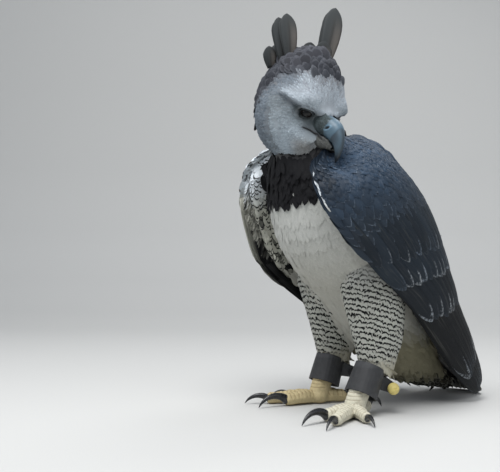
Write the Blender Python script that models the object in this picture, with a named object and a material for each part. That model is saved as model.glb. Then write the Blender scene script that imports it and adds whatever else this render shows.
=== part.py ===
"""Harpy eagle, life size, standing with its wings folded and its head turned over its left shoulder.

Lengths are in metres and angles in degrees. A place on the bird is (side, ahead, up): side is towards the
bird's left, ahead is the way its breast faces, and up is the height over the floor that it stands on.
The bird faces -Y. The origin is on the floor, under the middle of the bird's bounding box.
"""

import math
import random

import bmesh
import bpy
import numpy as np
from mathutils import Matrix, Vector

# Where the middle of the bounding box lies, as side and ahead, so that the origin comes under it
BOX_MIDDLE = (-0.0030, -0.0872)
GAP = 0.0003  # clearance between two pieces that meet
SKIN_GAP = 0.0008  # clearance between two rounded pieces, whose facets stand off a little
WELD = 0.000001  # vertices closer than this are one
FLAT_ANGLE = 0.6  # facets closer to level than this are one
SOLE = 0.0  # height of every flat that the bird stands on

# Body, from the top of the neck to the last undertail covert:
# along, ahead, up, half width, half depth to the front, half depth to the back
BODY_ROWS = (
    (0.00, 0.104, 0.560, 0.046, 0.046, 0.046),
    (0.08, 0.098, 0.525, 0.060, 0.056, 0.060),
    (0.17, 0.085, 0.482, 0.084, 0.074, 0.084),
    (0.27, 0.062, 0.435, 0.112, 0.094, 0.136),
    (0.39, 0.030, 0.378, 0.127, 0.112, 0.172),
    (0.52, -0.010, 0.312, 0.126, 0.108, 0.178),
    (0.65, -0.052, 0.248, 0.110, 0.092, 0.152),
    (0.77, -0.100, 0.184, 0.086, 0.088, 0.086),
    (0.87, -0.160, 0.128, 0.068, 0.086, 0.036),
    (0.95, -0.218, 0.076, 0.050, 0.058, 0.014),
    (1.00, -0.272, 0.030, 0.026, 0.014, 0.006),
)
BODY_RINGS, BODY_SIDES = 22, 22
NECK_CUT_ALONG = 0.25  # where the neck is parted from the torso
RUMP_CUT_ALONG = 0.79  # where the torso is parted from the rump

# Head, a ball of feathers with the face at its front, turned and nodded about its middle
HEAD_AT = (0.006, 0.106, 0.572)
HEAD_TURN = 93.0  # to the bird's left
HEAD_NOD = 25.0  # downwards
HEAD_TILT = 4.0  # the crown leans to the bird's right
HEAD_FRONT, HEAD_BACK = 0.074, 0.090
HEAD_SIDE = 0.081
HEAD_UP, HEAD_DOWN = 0.103, 0.098
HEAD_RINGS, HEAD_SIDES = 18, 24
# Swellings and hollows of the face: forward, sideways, up, angular reach in degrees, height; each on both sides
FACE_FORMS = (
    ("brow", 0.060, 0.045, 0.0185, 13.0, 0.0095),
    ("brow over the lores", 0.071, 0.026, 0.014, 11.0, 0.0045),
    ("eye hollow", 0.060, 0.046, -0.006, 11.0, -0.0070),
    ("lores", 0.068, 0.028, -0.014, 11.0, -0.0065),
    ("cheek", 0.040, 0.066, -0.040, 20.0, 0.0050),
    ("ruff", -0.010, 0.078, -0.035, 24.0, 0.0070),
    ("fold under the cheek", 0.040, 0.050, -0.064, 11.0, -0.0050),
    ("jowl", 0.015, 0.050, -0.072, 24.0, 0.0110),
    ("beard", 0.056, 0.034, -0.058, 19.0, 0.0170),
    ("chin", 0.070, 0.010, -0.051, 16.0, 0.0145),
)
EYE_AT = (0.0550, 0.0325, 0.0000)  # centre of the right eyeball: forward, sideways, up
EYE_RADIUS = 0.0125
LID_HALF_WIDTH, LID_HALF_HEIGHT = 0.0112, 0.0064
LID_SLANT = 5.0  # the outer corner of the opening sits lower at the front

# Upper bill with its cere: along, forward, up, half width, half height above and below the line
UPPER_BILL_ROWS = (
    (0.00, 0.0500, -0.0120, 0.0150, 0.0150, 0.0150),
    (0.22, 0.0830, -0.0120, 0.0168, 0.0185, 0.0165),
    (0.42, 0.1030, -0.0155, 0.0158, 0.0190, 0.0165),
    (0.58, 0.1165, -0.0240, 0.0130, 0.0160, 0.0140),
    (0.72, 0.1245, -0.0345, 0.0096, 0.0118, 0.0100),
    (0.84, 0.1290, -0.0450, 0.0066, 0.0078, 0.0064),
    (0.94, 0.1312, -0.0545, 0.0036, 0.0045, 0.0036),
    (1.00, 0.1320, -0.0625, 0.0010, 0.0012, 0.0010),
)
LOWER_BILL_ROWS = (
    (0.00, 0.0560, -0.0390, 0.0165, 0.0120, 0.0100),
    (0.40, 0.0820, -0.0380, 0.0145, 0.0110, 0.0100),
    (0.75, 0.0990, -0.0385, 0.0110, 0.0090, 0.0080),
    (1.00, 0.1090, -0.0415, 0.0050, 0.0040, 0.0040),
)
BILL_RINGS, BILL_SIDES = 14, 12
NOSTRIL_AT = (0.0985, 0.0150, -0.0110)
NOSTRIL_SIZE = (0.0028, 0.0030, 0.0050)
GAPE_AT = (0.056, 0.037, -0.0270)  # corner of the mouth, out at the cheek
MOUTH_BEND_AT = (0.067, 0.029, -0.0285)
MOUTH_FRONT_AT = (0.078, 0.020, -0.0290)
MOUTH_LINE_RADIUS = 0.0021
MOUTH_LINE_STEPS = 8

# Crest feathers of one side: root forward, outwards, up; tip forward, outwards, up; width
CREST_ROWS = (
    (-0.024, 0.042, 0.072, -0.070, 0.068, 0.164, 0.036),
    (-0.034, 0.046, 0.064, -0.074, 0.078, 0.152, 0.034),
    (-0.048, 0.058, 0.046, -0.062, 0.080, 0.092, 0.028),
    (-0.018, 0.028, 0.080, -0.036, 0.036, 0.108, 0.030),
    (-0.050, 0.036, 0.054, -0.082, 0.046, 0.096, 0.034),
)
CREST_THICK = 0.0016
# How much higher the tips of each side stand: the crest on the right is not fully raised
CREST_RAISE = {"crest_left": 0.014, "crest_right": -0.019}
CREST_LEAN = {"crest_left": 0.010, "crest_right": -0.024}  # outwards

# Wings, folded: the leading edge faces the breast, the trailing edge lies along the back.
# along, then side, ahead, up of the leading edge, side, ahead, up of the trailing edge, outward swell
LEFT_WING_ROWS = (
    (0.00, 0.078, 0.092, 0.500, 0.026, -0.006, 0.520, 0.012),
    (0.10, 0.108, 0.158, 0.450, 0.024, -0.068, 0.500, 0.036),
    (0.20, 0.127, 0.156, 0.398, 0.022, -0.122, 0.464, 0.054),
    (0.33, 0.140, 0.108, 0.330, 0.022, -0.178, 0.404, 0.062),
    (0.46, 0.141, 0.032, 0.260, 0.022, -0.205, 0.330, 0.058),
    (0.57, 0.134, -0.042, 0.212, 0.022, -0.221, 0.262, 0.050),
    (0.70, 0.118, -0.120, 0.146, 0.022, -0.247, 0.190, 0.038),
    (0.82, 0.106, -0.184, 0.086, 0.048, -0.270, 0.126, 0.022),
    (0.93, 0.096, -0.238, 0.040, 0.066, -0.287, 0.066, 0.008),
    (1.02, 0.084, -0.270, 0.016, 0.074, -0.292, 0.024, 0.002),
)
RIGHT_WING_ROWS = (
    (0.00, 0.100, 0.080, 0.508, 0.026, -0.006, 0.524, 0.012),
    (0.10, 0.158, 0.114, 0.462, 0.024, -0.068, 0.504, 0.036),
    (0.20, 0.170, 0.120, 0.408, 0.022, -0.122, 0.468, 0.050),
    (0.33, 0.176, 0.092, 0.332, 0.022, -0.178, 0.406, 0.056),
    (0.46, 0.172, 0.050, 0.260, 0.022, -0.205, 0.330, 0.054),
    (0.57, 0.152, -0.020, 0.208, 0.022, -0.221, 0.262, 0.048),
    (0.70, 0.126, -0.108, 0.146, 0.022, -0.247, 0.190, 0.038),
    (0.82, 0.108, -0.180, 0.086, 0.048, -0.270, 0.126, 0.022),
    (0.93, 0.097, -0.237, 0.040, 0.066, -0.287, 0.066, 0.008),
    (1.02, 0.084, -0.270, 0.016, 0.074, -0.292, 0.024, 0.002),
)
WING_OVER_TAIL, WING_UNDER_TAIL = 0.0035, 0.0060  # how far the wings are kept off the tail's feathers
WING_ARM_END = 0.58  # the fleshy arm and its small coverts reach this far along
WING_ARM_THICK, WING_ARM_THIN = 0.034, 0.007
LEFT_SEED, RIGHT_SEED = 6, 6  # for the small differences between the feathers of a wing
WING_RINGS, WING_STRIPS = 9, 6
VANE_THICK = 0.0014
VANE_EDGE_THICK = 0.0007
SHINGLE_RISE = 0.058  # how fast a vane rises off the wing along its length, per unit along
SHINGLE_ROLL = -10.0  # each vane is rolled this much, so that its upper edge covers its neighbour
# Tiers from the lowest up: name, count, root along, tip along at the leading and at the trailing side,
# first and last place across at the root, first and last place across at the tip, width, steps
WING_TIERS = (
    ("primary", 6, 0.50, 1.00, 0.94, 0.07, 0.52, 0.10, 0.80, 0.040, 4),
    ("secondary", 7, 0.44, 0.90, 0.84, 0.12, 0.93, 0.14, 0.95, 0.046, 4),
    ("greater_covert", 7, 0.34, 0.62, 0.66, 0.06, 0.95, 0.06, 0.96, 0.044, 3),
    ("median_covert", 6, 0.22, 0.46, 0.50, 0.06, 0.94, 0.06, 0.94, 0.048, 3),
)
VANE_PLACES = {
    3: (0.0, 0.45, 0.84, 1.0),
    4: (0.0, 0.34, 0.68, 0.90, 1.0),
    5: (0.0, 0.25, 0.50, 0.75, 0.93, 1.0),
}
VANE_WIDTHS = {
    3: (0.70, 1.00, 0.84, 0.30),
    4: (0.55, 0.92, 1.00, 0.72, 0.22),
    5: (0.45, 0.80, 0.98, 1.00, 0.66, 0.18),
}

# Tail, twelve feathers in a shallow arch, laid down until the tips meet the floor
TAIL_ROOT = (0.0, -0.085, 0.262)
TAIL_TIP = (0.0, -0.367, 0.0005)
TAIL_FEATHERS = 12
TAIL_HALF_SPREAD = 4.5  # how far the outer feathers turn out
TAIL_ROOT_HALF_WIDTH = 0.016
TAIL_FEATHER_WIDTH = 0.044
TAIL_ARCH = 0.006  # how far the outer feathers hang below the middle ones at the root of the visible tail
TAIL_STEP = 0.0016  # each feather lies this far under the next one inwards
TAIL_BEND = 0.010  # sag of a feather between its root and its tip
TAIL_OUTER_SHORT = 0.016  # the outer feathers are this much shorter
# Small feathers over the root of the tail: how many, from, to, height over the tail, width
TAIL_COVERTS = (7, 0.16, 0.46, 0.0075, 0.036)

# Legs. Each leg: (side, ahead) of the hip, heel and ankle, and the way that the middle toe points, outwards
LEFT_LEG = dict(
    sign=1, hip=(0.066, -0.010), heel=(0.083, -0.012), ankle=(0.082, 0.038), splay=29.0, flap_turn=165.0
)
RIGHT_LEG = dict(
    sign=-1, hip=(0.064, -0.018), heel=(0.072, -0.045), ankle=(0.070, -0.006), splay=31.0, flap_turn=-140.0
)
HEEL_UP, ANKLE_UP = 0.128, 0.030
# Feathered thigh: along, share of the way from hip to heel, height, half width, half front, half back
THIGH_ROWS = (
    (0.00, 0.00, 0.300, 0.046, 0.050, 0.052),
    (0.22, 0.16, 0.262, 0.060, 0.066, 0.068),
    (0.45, 0.42, 0.218, 0.056, 0.063, 0.070),
    (0.66, 0.70, 0.170, 0.046, 0.054, 0.068),
    (0.84, 0.90, 0.128, 0.037, 0.047, 0.060),
    (1.00, 1.00, 0.072, 0.026, 0.036, 0.034),
)
THIGH_CUT_UP = 0.0945  # the feathers end here, just above the anklet, square to the tarsus
TARSUS_HALF_WIDTH, TARSUS_HALF_DEPTH = 0.0185, 0.0200
ANKLE_CUT_UP = 0.036
PAD_RADIUS, PAD_HEIGHT = 0.0215, 0.017
# Toes: name, turn from the middle toe (inwards is negative), length, radius at root and end, scutes
TOES = (
    ("inner", -23.0, 0.076, 0.0140, 0.0118, 4),
    ("middle", 0.0, 0.102, 0.0138, 0.0106, 6),
    ("outer", 38.0, 0.072, 0.0125, 0.0098, 4),
    ("hind", 172.0, 0.056, 0.0145, 0.0122, 3),
)
TOE_SIDES = 8
SCUTE_HEIGHT = 0.0011
# Claws: toe, length along the curve, half width and half height at the root, bend in degrees
CLAWS = {
    "inner": (0.072, 0.0078, 0.0092, 98.0),
    "middle": (0.054, 0.0062, 0.0074, 92.0),
    "outer": (0.046, 0.0056, 0.0068, 92.0),
    "hind": (0.078, 0.0078, 0.0094, 100.0),
}
CLAW_RINGS, CLAW_SIDES = 8, 6

# Leather anklets: a cuff round each tarsus, flared downwards, with a flap behind
ANKLET_LOW, ANKLET_HIGH = 0.041, 0.091
ANKLET_CLEAR = 0.0006  # the front of the cuff lies against the tarsus
# How far the cuff stands off at the sides and behind, at its upper and at its lower rim
ANKLET_SIDE_TOP, ANKLET_SIDE_LOW = 0.0060, 0.0095
ANKLET_BACK_TOP, ANKLET_BACK_LOW = 0.0110, 0.0145
ANKLET_THICK = 0.0032
ANKLET_SIDES = 24
ANKLET_LEVELS = 3
FLAP_LENGTH, FLAP_HEIGHT, FLAP_THICK = 0.038, 0.028, 0.0062
FLAP_UP = 0.074
FLAP_TAPER = 0.62
BUTTON_UP = 0.071
BUTTON_RADIUS = 0.0115
EYELET_RADIUS, EYELET_BORE, EYELET_THICK = 0.0095, 0.0045, 0.0020

COLOURS = {
    "head_feather": (0.42, 0.43, 0.44),
    "crest_feather": (0.11, 0.11, 0.12),
    "neck_feather": (0.020, 0.019, 0.021),
    "breast_feather": (0.74, 0.73, 0.68),
    "thigh_feather": (0.62, 0.61, 0.57),
    "wing_feather": (0.045, 0.052, 0.066),
    "tail_feather": (0.040, 0.042, 0.048),
    "bill_horn": (0.060, 0.068, 0.080),
    "claw_horn": (0.015, 0.015, 0.018),
    "foot_scale": (0.66, 0.55, 0.34),
    "eye": (0.030, 0.022, 0.018),
    "leather": (0.035, 0.035, 0.040),
    "button": (0.62, 0.52, 0.20),
    "blackened_steel": (0.09, 0.09, 0.10),
}
ROUGHNESS = {"eye": 0.08, "bill_horn": 0.35, "claw_horn": 0.28, "leather": 0.55, "blackened_steel": 0.4}
METALLIC = {"blackened_steel": 1.0}


def place(side, ahead, up):
    """A point of the bird in the frame of the file."""
    return Vector((side - BOX_MIDDLE[0], BOX_MIDDLE[1] - ahead, up))


def heading(side, ahead, up):
    """A direction on the bird in the frame of the file."""
    return Vector((side, -ahead, up)).normalized()


def flow(rows, along):
    """The numbers of rows at a place along, on a smooth curve through them. A row starts with its own place."""
    table = np.array(rows, float)
    at, values = table[:, 0], table[:, 1:]
    slopes = np.gradient(values, at, axis=0)
    i = int(np.clip(np.searchsorted(at, along) - 1, 0, len(at) - 2))
    span = at[i + 1] - at[i]
    t = (along - at[i]) / span
    before = (2 * t**3 - 3 * t**2 + 1) * values[i] + (t**3 - 2 * t**2 + t) * span * slopes[i]
    after = (-2 * t**3 + 3 * t**2) * values[i + 1] + (t**3 - t**2) * span * slopes[i + 1]
    return before + after


def material(name):
    """The finish of a kind of piece, made once."""
    found = bpy.data.materials.get(name)
    if found:
        return found
    made = bpy.data.materials.new(name)
    made.use_nodes = True
    shader = made.node_tree.nodes["Principled BSDF"]
    shader.inputs["Base Color"].default_value = (*COLOURS[name], 1.0)
    shader.inputs["Roughness"].default_value = ROUGHNESS.get(name, 0.8)
    shader.inputs["Metallic"].default_value = METALLIC.get(name, 0.0)
    return made


def collection(name):
    """A collection of the scene, made once."""
    found = bpy.data.collections.get(name)
    if found is None:
        found = bpy.data.collections.new(name)
        bpy.context.scene.collection.children.link(found)
    return found


def add_object(name, mesh, finish=None, into="harpy_eagle"):
    """An object for a mesh, with its finish."""
    made = bpy.data.objects.new(name, mesh)
    collection(into).objects.link(made)
    if finish:
        mesh.materials.append(material(finish))
    return made


def mesh_from(form, name):
    """A mesh from a form whose faces are all made to look outwards."""
    form.normal_update()
    bmesh.ops.recalc_face_normals(form, faces=form.faces)
    if form.calc_volume(signed=True) < 0:
        bmesh.ops.reverse_faces(form, faces=form.faces)
    mesh = bpy.data.meshes.new(name)
    form.to_mesh(mesh)
    form.free()
    return mesh


def mesh_of_rings(name, rings, alike=False):
    """A closed mesh over like rings of points, with a fan over each end.

    With alike set, every quad is split the same way, which keeps the two faces of a thin vane parallel.
    """
    form = bmesh.new()
    rows = [[form.verts.new(point) for point in ring] for ring in rings]
    count = len(rows[0])
    for low, high in zip(rows, rows[1:]):
        for i in range(count):
            j = (i + 1) % count
            if alike and i >= count // 2:
                form.faces.new((low[i], low[j], high[i]))
                form.faces.new((low[j], high[j], high[i]))
            elif alike:
                form.faces.new((low[i], low[j], high[j]))
                form.faces.new((low[i], high[j], high[i]))
            else:
                form.faces.new((low[i], low[j], high[j], high[i]))
    for row in (rows[0], rows[-1]):
        middle = form.verts.new(sum((v.co for v in row), Vector()) / count)
        for i in range(count):
            form.faces.new((row[i], row[(i + 1) % count], middle))
    return mesh_from(form, name)


def ring_of(middle, across, outward, half_width, half_out, half_in, sides, power=2.0):
    """An oval round middle: half_out reaches along outward, and half_in the other way."""
    ring = []
    for i in range(sides):
        angle = 2 * math.pi * i / sides
        c, s = math.cos(angle), math.sin(angle)
        c = math.copysign(abs(c) ** (2 / power), c)
        s = math.copysign(abs(s) ** (2 / power), s)
        reach = half_out if c > 0 else half_in
        ring.append(middle + across * (half_width * s) + outward * (reach * c))
    return ring


def frames_along(points, outward):
    """For each point of a path: its tangent, the direction across and the direction outward."""
    frames = []
    for i, point in enumerate(points):
        ahead = points[min(i + 1, len(points) - 1)]
        behind = points[max(i - 1, 0)]
        tangent = (ahead - behind).normalized()
        out = (outward - tangent * outward.dot(tangent)).normalized()
        frames.append((tangent, tangent.cross(out), out))
    return frames


def oval_tube(name, points, sizes, outward, sides, grow=0.0, power=2.0):
    """A closed tube of ovals along points. A size is half width, half out and half in."""
    frames = frames_along(points, outward)
    rings = []
    for k, (point, size, frame) in enumerate(zip(points, sizes, frames)):
        tangent, across, out = frame
        end = {0: -1, len(points) - 1: 1}.get(k, 0)
        middle = point + tangent * (grow * end)
        grown = [s + grow for s in size]
        rings.append(ring_of(middle, across, out, *grown, sides, power))
    return mesh_of_rings(name, rings)


def apply_modifiers(obj):
    """Replaces an object's mesh by the one that its modifiers give."""
    graph = bpy.context.evaluated_depsgraph_get()
    made = bpy.data.meshes.new_from_object(obj.evaluated_get(graph))
    obj.modifiers.clear()
    obj.data = made


def boolean(obj, other, operation, solver="EXACT"):
    """Joins a mesh with a helper object, or cuts it by one, and removes the helper."""
    step = obj.modifiers.new(operation.lower(), "BOOLEAN")
    step.operation = operation
    step.solver = solver
    step.object = other
    apply_modifiers(obj)
    bpy.data.objects.remove(other)
    return obj


def cut_by(obj, mesh, solver="MANIFOLD"):
    """Takes a closed mesh away from an object."""
    cutter = add_object("cutter", mesh, into="cutters")
    return boolean(obj, cutter, "DIFFERENCE", solver)


def join_all(obj, meshes, solver="MANIFOLD"):
    """Joins many closed meshes to an object in one union."""
    pieces = collection("pieces")
    made = [add_object(f"piece_{i}", mesh, into="pieces") for i, mesh in enumerate(meshes)]
    step = obj.modifiers.new("union", "BOOLEAN")
    step.operation = "UNION"
    step.solver = solver
    step.operand_type = "COLLECTION"
    step.collection = pieces
    apply_modifiers(obj)
    for piece in made:
        bpy.data.objects.remove(piece)
    bpy.data.collections.remove(pieces)
    return obj


def slice_off(obj, point, normal):
    """Takes away what lies on the normal's side of a plane, and closes the cut."""
    form = bmesh.new()
    form.from_mesh(obj.data)
    found = bmesh.ops.bisect_plane(
        form,
        geom=form.verts[:] + form.edges[:] + form.faces[:],
        dist=1e-6,
        plane_co=point,
        plane_no=normal,
        clear_outer=True,
    )
    rim = [e for e in found["geom_cut"] if isinstance(e, bmesh.types.BMEdge)]
    bmesh.ops.contextual_create(form, geom=rim)
    bmesh.ops.recalc_face_normals(form, faces=form.faces)
    form.to_mesh(obj.data)
    form.free()
    return obj


def closed(form):
    """Whether every edge of a form has just two faces."""
    return all(len(edge.link_faces) == 2 for edge in form.edges)


def flats_joined(form):
    """The form with its flat areas made whole again, or as it was where that would open it."""
    tidy = form.copy()
    angle = math.radians(FLAT_ANGLE)
    bmesh.ops.dissolve_limit(tidy, angle_limit=angle, verts=tidy.verts, edges=tidy.edges)
    bmesh.ops.triangulate(tidy, faces=tidy.faces)
    if closed(tidy):
        form.free()
        return tidy
    tidy.free()
    bmesh.ops.triangulate(form, faces=form.faces)
    return form


def keep_largest(obj):
    """Keeps only the largest closed surface of an object."""
    form = bmesh.new()
    form.from_mesh(obj.data)
    bmesh.ops.remove_doubles(form, verts=form.verts, dist=WELD)
    left = set(form.faces)
    bodies = []
    while left:
        body, front = set(), [left.pop()]
        while front:
            face = front.pop()
            body.add(face)
            near = {f for edge in face.edges for f in edge.link_faces} & left
            left -= near
            front.extend(near)
        bodies.append(body)
    bodies.sort(key=lambda body: sum(f.calc_area() for f in body))
    spare = [f for body in bodies[:-1] for f in body]
    bmesh.ops.delete(form, geom=spare, context="FACES")
    loose = [v for v in form.verts if not v.link_faces]
    bmesh.ops.delete(form, geom=loose, context="VERTS")
    form = flats_joined(form)
    form.to_mesh(obj.data)
    form.free()
    return obj


def finish(obj, sharp_angle=40.0):
    """Shades an object smooth, but for its sharp edges."""
    obj.data.shade_smooth()
    obj.data.set_sharp_from_angle(angle=math.radians(sharp_angle))
    return obj


def body_middle(along):
    """The middle of the body at a place along it."""
    ahead, up = flow(BODY_ROWS, along)[:2]
    return place(0, ahead, up)


def body_tangent(along):
    """The way the body runs, towards the tail."""
    step = 0.004
    return (body_middle(min(1, along + step)) - body_middle(max(0, along - step))).normalized()


def body_mesh(grow=0.0):
    """The body from neck to undertail coverts, as one closed form."""
    places = [i / BODY_RINGS for i in range(BODY_RINGS + 1)]
    points = [body_middle(p) for p in places]
    sizes = [tuple(flow(BODY_ROWS, p)[2:]) for p in places]
    return oval_tube("body", points, sizes, heading(0, 1, -0.3), BODY_SIDES, grow)


def head_axes():
    """The way the face points, the head's left and its crown."""
    turn, nod = math.radians(HEAD_TURN), math.radians(HEAD_NOD)
    level = heading(math.sin(turn), math.cos(turn), 0)
    left = Vector((0, 0, 1)).cross(level)
    face = level * math.cos(nod) - Vector((0, 0, 1)) * math.sin(nod)
    left = Matrix.Rotation(-math.radians(HEAD_TILT), 3, face) @ left
    return face, left, face.cross(left)


def on_head(forward, right, up):
    """A point of the head. Sideways counts to the head's right."""
    face, left, crown = head_axes()
    return place(*HEAD_AT) + face * forward - left * right + crown * up


def head_reach(forward, right, up):
    """How far the head's surface is from its middle, along a direction."""
    way = Vector((forward, right, up)).normalized()
    front = HEAD_FRONT if way.x > 0 else HEAD_BACK
    tall = HEAD_UP if way.z > 0 else HEAD_DOWN
    reach = 1 / math.sqrt((way.x / front) ** 2 + (way.y / HEAD_SIDE) ** 2 + (way.z / tall) ** 2)
    for _name, f, s, u, spread, height in FACE_FORMS:
        for sign in (1, -1):
            angle = way.angle(Vector((f, s * sign, u)))
            reach += height * math.exp(-((math.degrees(angle) / spread) ** 2))
    return reach


def head_mesh(grow=0.0):
    """The head without bill and eyes: rings round the way the face points."""
    rings = []
    for i in range(1, HEAD_RINGS):
        tilt = math.pi * i / HEAD_RINGS
        ring = []
        for j in range(HEAD_SIDES):
            turn = 2 * math.pi * j / HEAD_SIDES
            way = (math.cos(tilt), math.sin(tilt) * math.sin(turn), math.sin(tilt) * math.cos(turn))
            reach = head_reach(*way) + grow
            ring.append(on_head(*(reach * w for w in way)))
        rings.append(ring)
    return mesh_of_rings("head", rings)


def bill_mesh(rows, grow=0.0, power=2.2):
    """One half of the bill, along its curved middle line."""
    places = [i / BILL_RINGS for i in range(BILL_RINGS + 1)]
    values = [flow(rows, p) for p in places]
    points = [on_head(f, 0, u) for f, u, _w, _a, _b in values]
    sizes = [tuple(v[2:]) for v in values]
    return oval_tube("bill", points, sizes, head_axes()[2], BILL_SIDES, grow, power)


def bill_meshes(grow):
    """Both halves of the bill, grown, for cutting what they lie on."""
    return bill_mesh(UPPER_BILL_ROWS, grow), bill_mesh(LOWER_BILL_ROWS, grow)


def ball_mesh(name, middle, sizes, axes, segments=16, rings=10):
    """An ellipsoid with its own axes."""
    form = bmesh.new()
    bmesh.ops.create_uvsphere(form, u_segments=segments, v_segments=rings, radius=1.0)
    turn = Matrix((axes[0], axes[1], axes[2])).transposed()
    for vert in form.verts:
        scaled = Vector(c * s for c, s in zip(vert.co, sizes))
        vert.co = middle + turn @ scaled
    return mesh_from(form, name)


def eye_ball_mesh(sign, grow=0.0):
    """One eyeball, the right one for a positive sign."""
    forward, side, up = EYE_AT
    middle = on_head(forward, side * sign, up)
    return ball_mesh("eye", middle, (EYE_RADIUS + grow,) * 3, head_axes(), 14, 9)


def lid_opening_mesh(sign):
    """A short oval bar that cuts the opening between the lids."""
    face, left, crown = head_axes()
    forward, side, up = EYE_AT
    middle = on_head(forward, side * sign, up)
    outward = (-left * sign * 0.80 + face * 0.60).normalized()
    along = (face - outward * face.dot(outward)).normalized()
    slant = math.radians(LID_SLANT)
    long_axis = along * math.cos(slant) - crown * math.sin(slant)
    long_axis = (long_axis - outward * long_axis.dot(outward)).normalized()
    points = [middle + outward * (EYE_RADIUS * s) for s in (0.2, 1.2, 3.0)]
    sizes = [(LID_HALF_HEIGHT, LID_HALF_WIDTH, LID_HALF_WIDTH)] * 3
    return oval_tube("opening", points, sizes, long_axis, 14, power=1.8)


def mouth_line_mesh(sign):
    """A thin rod along the corner of the mouth, which cuts its line into the cheek."""
    rows = [(i / 2, *spot) for i, spot in enumerate((GAPE_AT, MOUTH_BEND_AT, MOUTH_FRONT_AT))]
    path = []
    for i in range(MOUTH_LINE_STEPS):
        way = Vector(flow(rows, i / (MOUTH_LINE_STEPS - 1))).normalized()
        way *= head_reach(*way)
        path.append(on_head(way.x, way.y * sign, way.z))
    sizes = [(MOUTH_LINE_RADIUS,) * 3] * len(path)
    return oval_tube("mouth_line", path, sizes, head_axes()[2], 6)


def build_head():
    """Head, both halves of the bill and both eyes."""
    axes = head_axes()
    head = add_object("head", head_mesh(), "head_feather")
    upper = add_object("bill_upper", bill_mesh(UPPER_BILL_ROWS), "bill_horn")
    lower = add_object("bill_lower", bill_mesh(LOWER_BILL_ROWS), "bill_horn")
    cut_by(lower, bill_mesh(UPPER_BILL_ROWS, SKIN_GAP))
    keep_largest(lower)
    cut_by(head, bill_mesh(UPPER_BILL_ROWS, SKIN_GAP))
    cut_by(head, bill_mesh(LOWER_BILL_ROWS, SKIN_GAP))
    for sign in (1, -1):
        forward, side, up = NOSTRIL_AT
        nostril = on_head(forward, side * sign, up)
        cut_by(upper, ball_mesh("nostril", nostril, NOSTRIL_SIZE, axes, 10, 6))
        cut_by(head, mouth_line_mesh(sign))
        cut_by(head, eye_ball_mesh(sign, SKIN_GAP))
        cut_by(head, lid_opening_mesh(sign))
        name = "eye_right" if sign > 0 else "eye_left"
        add_object(name, eye_ball_mesh(sign), "eye")
    for obj in (head, upper, lower):
        keep_largest(obj)
        finish(obj)
    for name in ("eye_left", "eye_right"):
        finish(bpy.data.objects[name])
    return head


def vane_mesh(name, spine, width, steps, thick=VANE_THICK, camber=0.0):
    """A thin feather along spine(t), which gives its point, side and normal for t from 0 to 1.

    With a camber its ridge stands over its edges. Both faces are split alike.
    """
    rings = []
    for t, share in zip(VANE_PLACES[steps], VANE_WIDTHS[steps]):
        point, side, normal = spine(t)
        half = width * share / 2
        if not camber:
            left, right = point - side * half, point + side * half
            rings.append((left, right, right - normal * thick, left - normal * thick))
            continue
        drop = normal * (camber * half)
        edge = min(VANE_EDGE_THICK, thick)
        left, right = point - side * half - drop, point + side * half - drop
        rings.append((
            left,
            point,
            right,
            right - normal * edge,
            point - normal * thick,
            left - normal * edge,
        ))
    return mesh_of_rings(name, rings, alike=True)


def straight_spine(root, tip, face, bend=0.0, roll=0.0):
    """A spine from root to tip with its upper face towards face, bent back by a share of its length."""
    way = tip - root
    side0 = way.cross(face).normalized()

    def spine(t):
        normal = side0.cross(way).normalized()
        bow = bend * way.length
        point = root + way * t + normal * (bow * 4 * t * (1 - t))
        tangent = (way + normal * (bow * 4 * (1 - 2 * t))).normalized()
        side = Matrix.Rotation(math.radians(roll), 3, tangent) @ side0
        return point, side, side.cross(tangent).normalized()

    return spine


def build_crest(name, sign):
    """The long crest feathers of one side of the head, on a small root that sits on the crown."""
    vanes = []
    tallest = max(row[5] for row in CREST_ROWS)
    for i, (f0, s0, u0, f1, s1, u1, width) in enumerate(CREST_ROWS):
        root = on_head(f0, s0 * sign, u0)
        share = u1 / tallest
        tip = on_head(f1, (s1 + CREST_LEAN[name] * share) * sign, u1 + CREST_RAISE[name] * share)
        face = (on_head(1, 0.3, 0.1) - on_head(0, 0, 0)).normalized()
        spine = straight_spine(root, tip, face, bend=0.05, roll=2.0 * (i % 3 - 1))
        vanes.append(vane_mesh(f"crest_{i}", spine, width, 5, CREST_THICK, 0.22))
    middle = on_head(-0.033, 0.040 * sign, 0.065)
    knob = ball_mesh("knob", middle, (0.024, 0.022, 0.012), head_axes(), 12, 8)
    crest = add_object(name, knob, "crest_feather")
    join_all(crest, vanes)
    cut_by(crest, head_mesh(SKIN_GAP))
    keep_largest(crest)
    return finish(crest, 30)


def wing_point(rows, sign, along, across, lift=0.0):
    """A point over the folded wing: across runs from its leading to its trailing edge."""
    values = flow(rows, along)
    lead, trail, swell = Vector(values[:3]), Vector(values[3:6]), values[6]
    chord = trail - lead
    run = Vector(flow(rows, min(1.02, along + 0.02))[:6].reshape(2, 3).mean(0))
    run -= Vector(flow(rows, max(0, along - 0.02))[:6].reshape(2, 3).mean(0))
    outward = run.cross(chord).normalized()
    if outward.x < 0:
        outward = -outward
    arc = math.sin(math.pi * min(max(across, 0), 1)) ** 0.85
    spot = lead + chord * across + outward * (swell * arc + lift)
    return place(spot.x * sign, spot.y, spot.z)


def wing_frame(rows, sign, along, across):
    """The point, the way along, the way across and the outward normal of the wing's face."""
    step = 0.012
    point = wing_point(rows, sign, along, across)
    run = wing_point(rows, sign, along + step, across) - wing_point(rows, sign, along - step, across)
    over = wing_point(rows, sign, along, across + step) - wing_point(rows, sign, along, across - step)
    normal = run.cross(over).normalized()
    if normal.x * sign < 0:
        normal = -normal
    return point, run.normalized(), over.normalized(), normal


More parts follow.
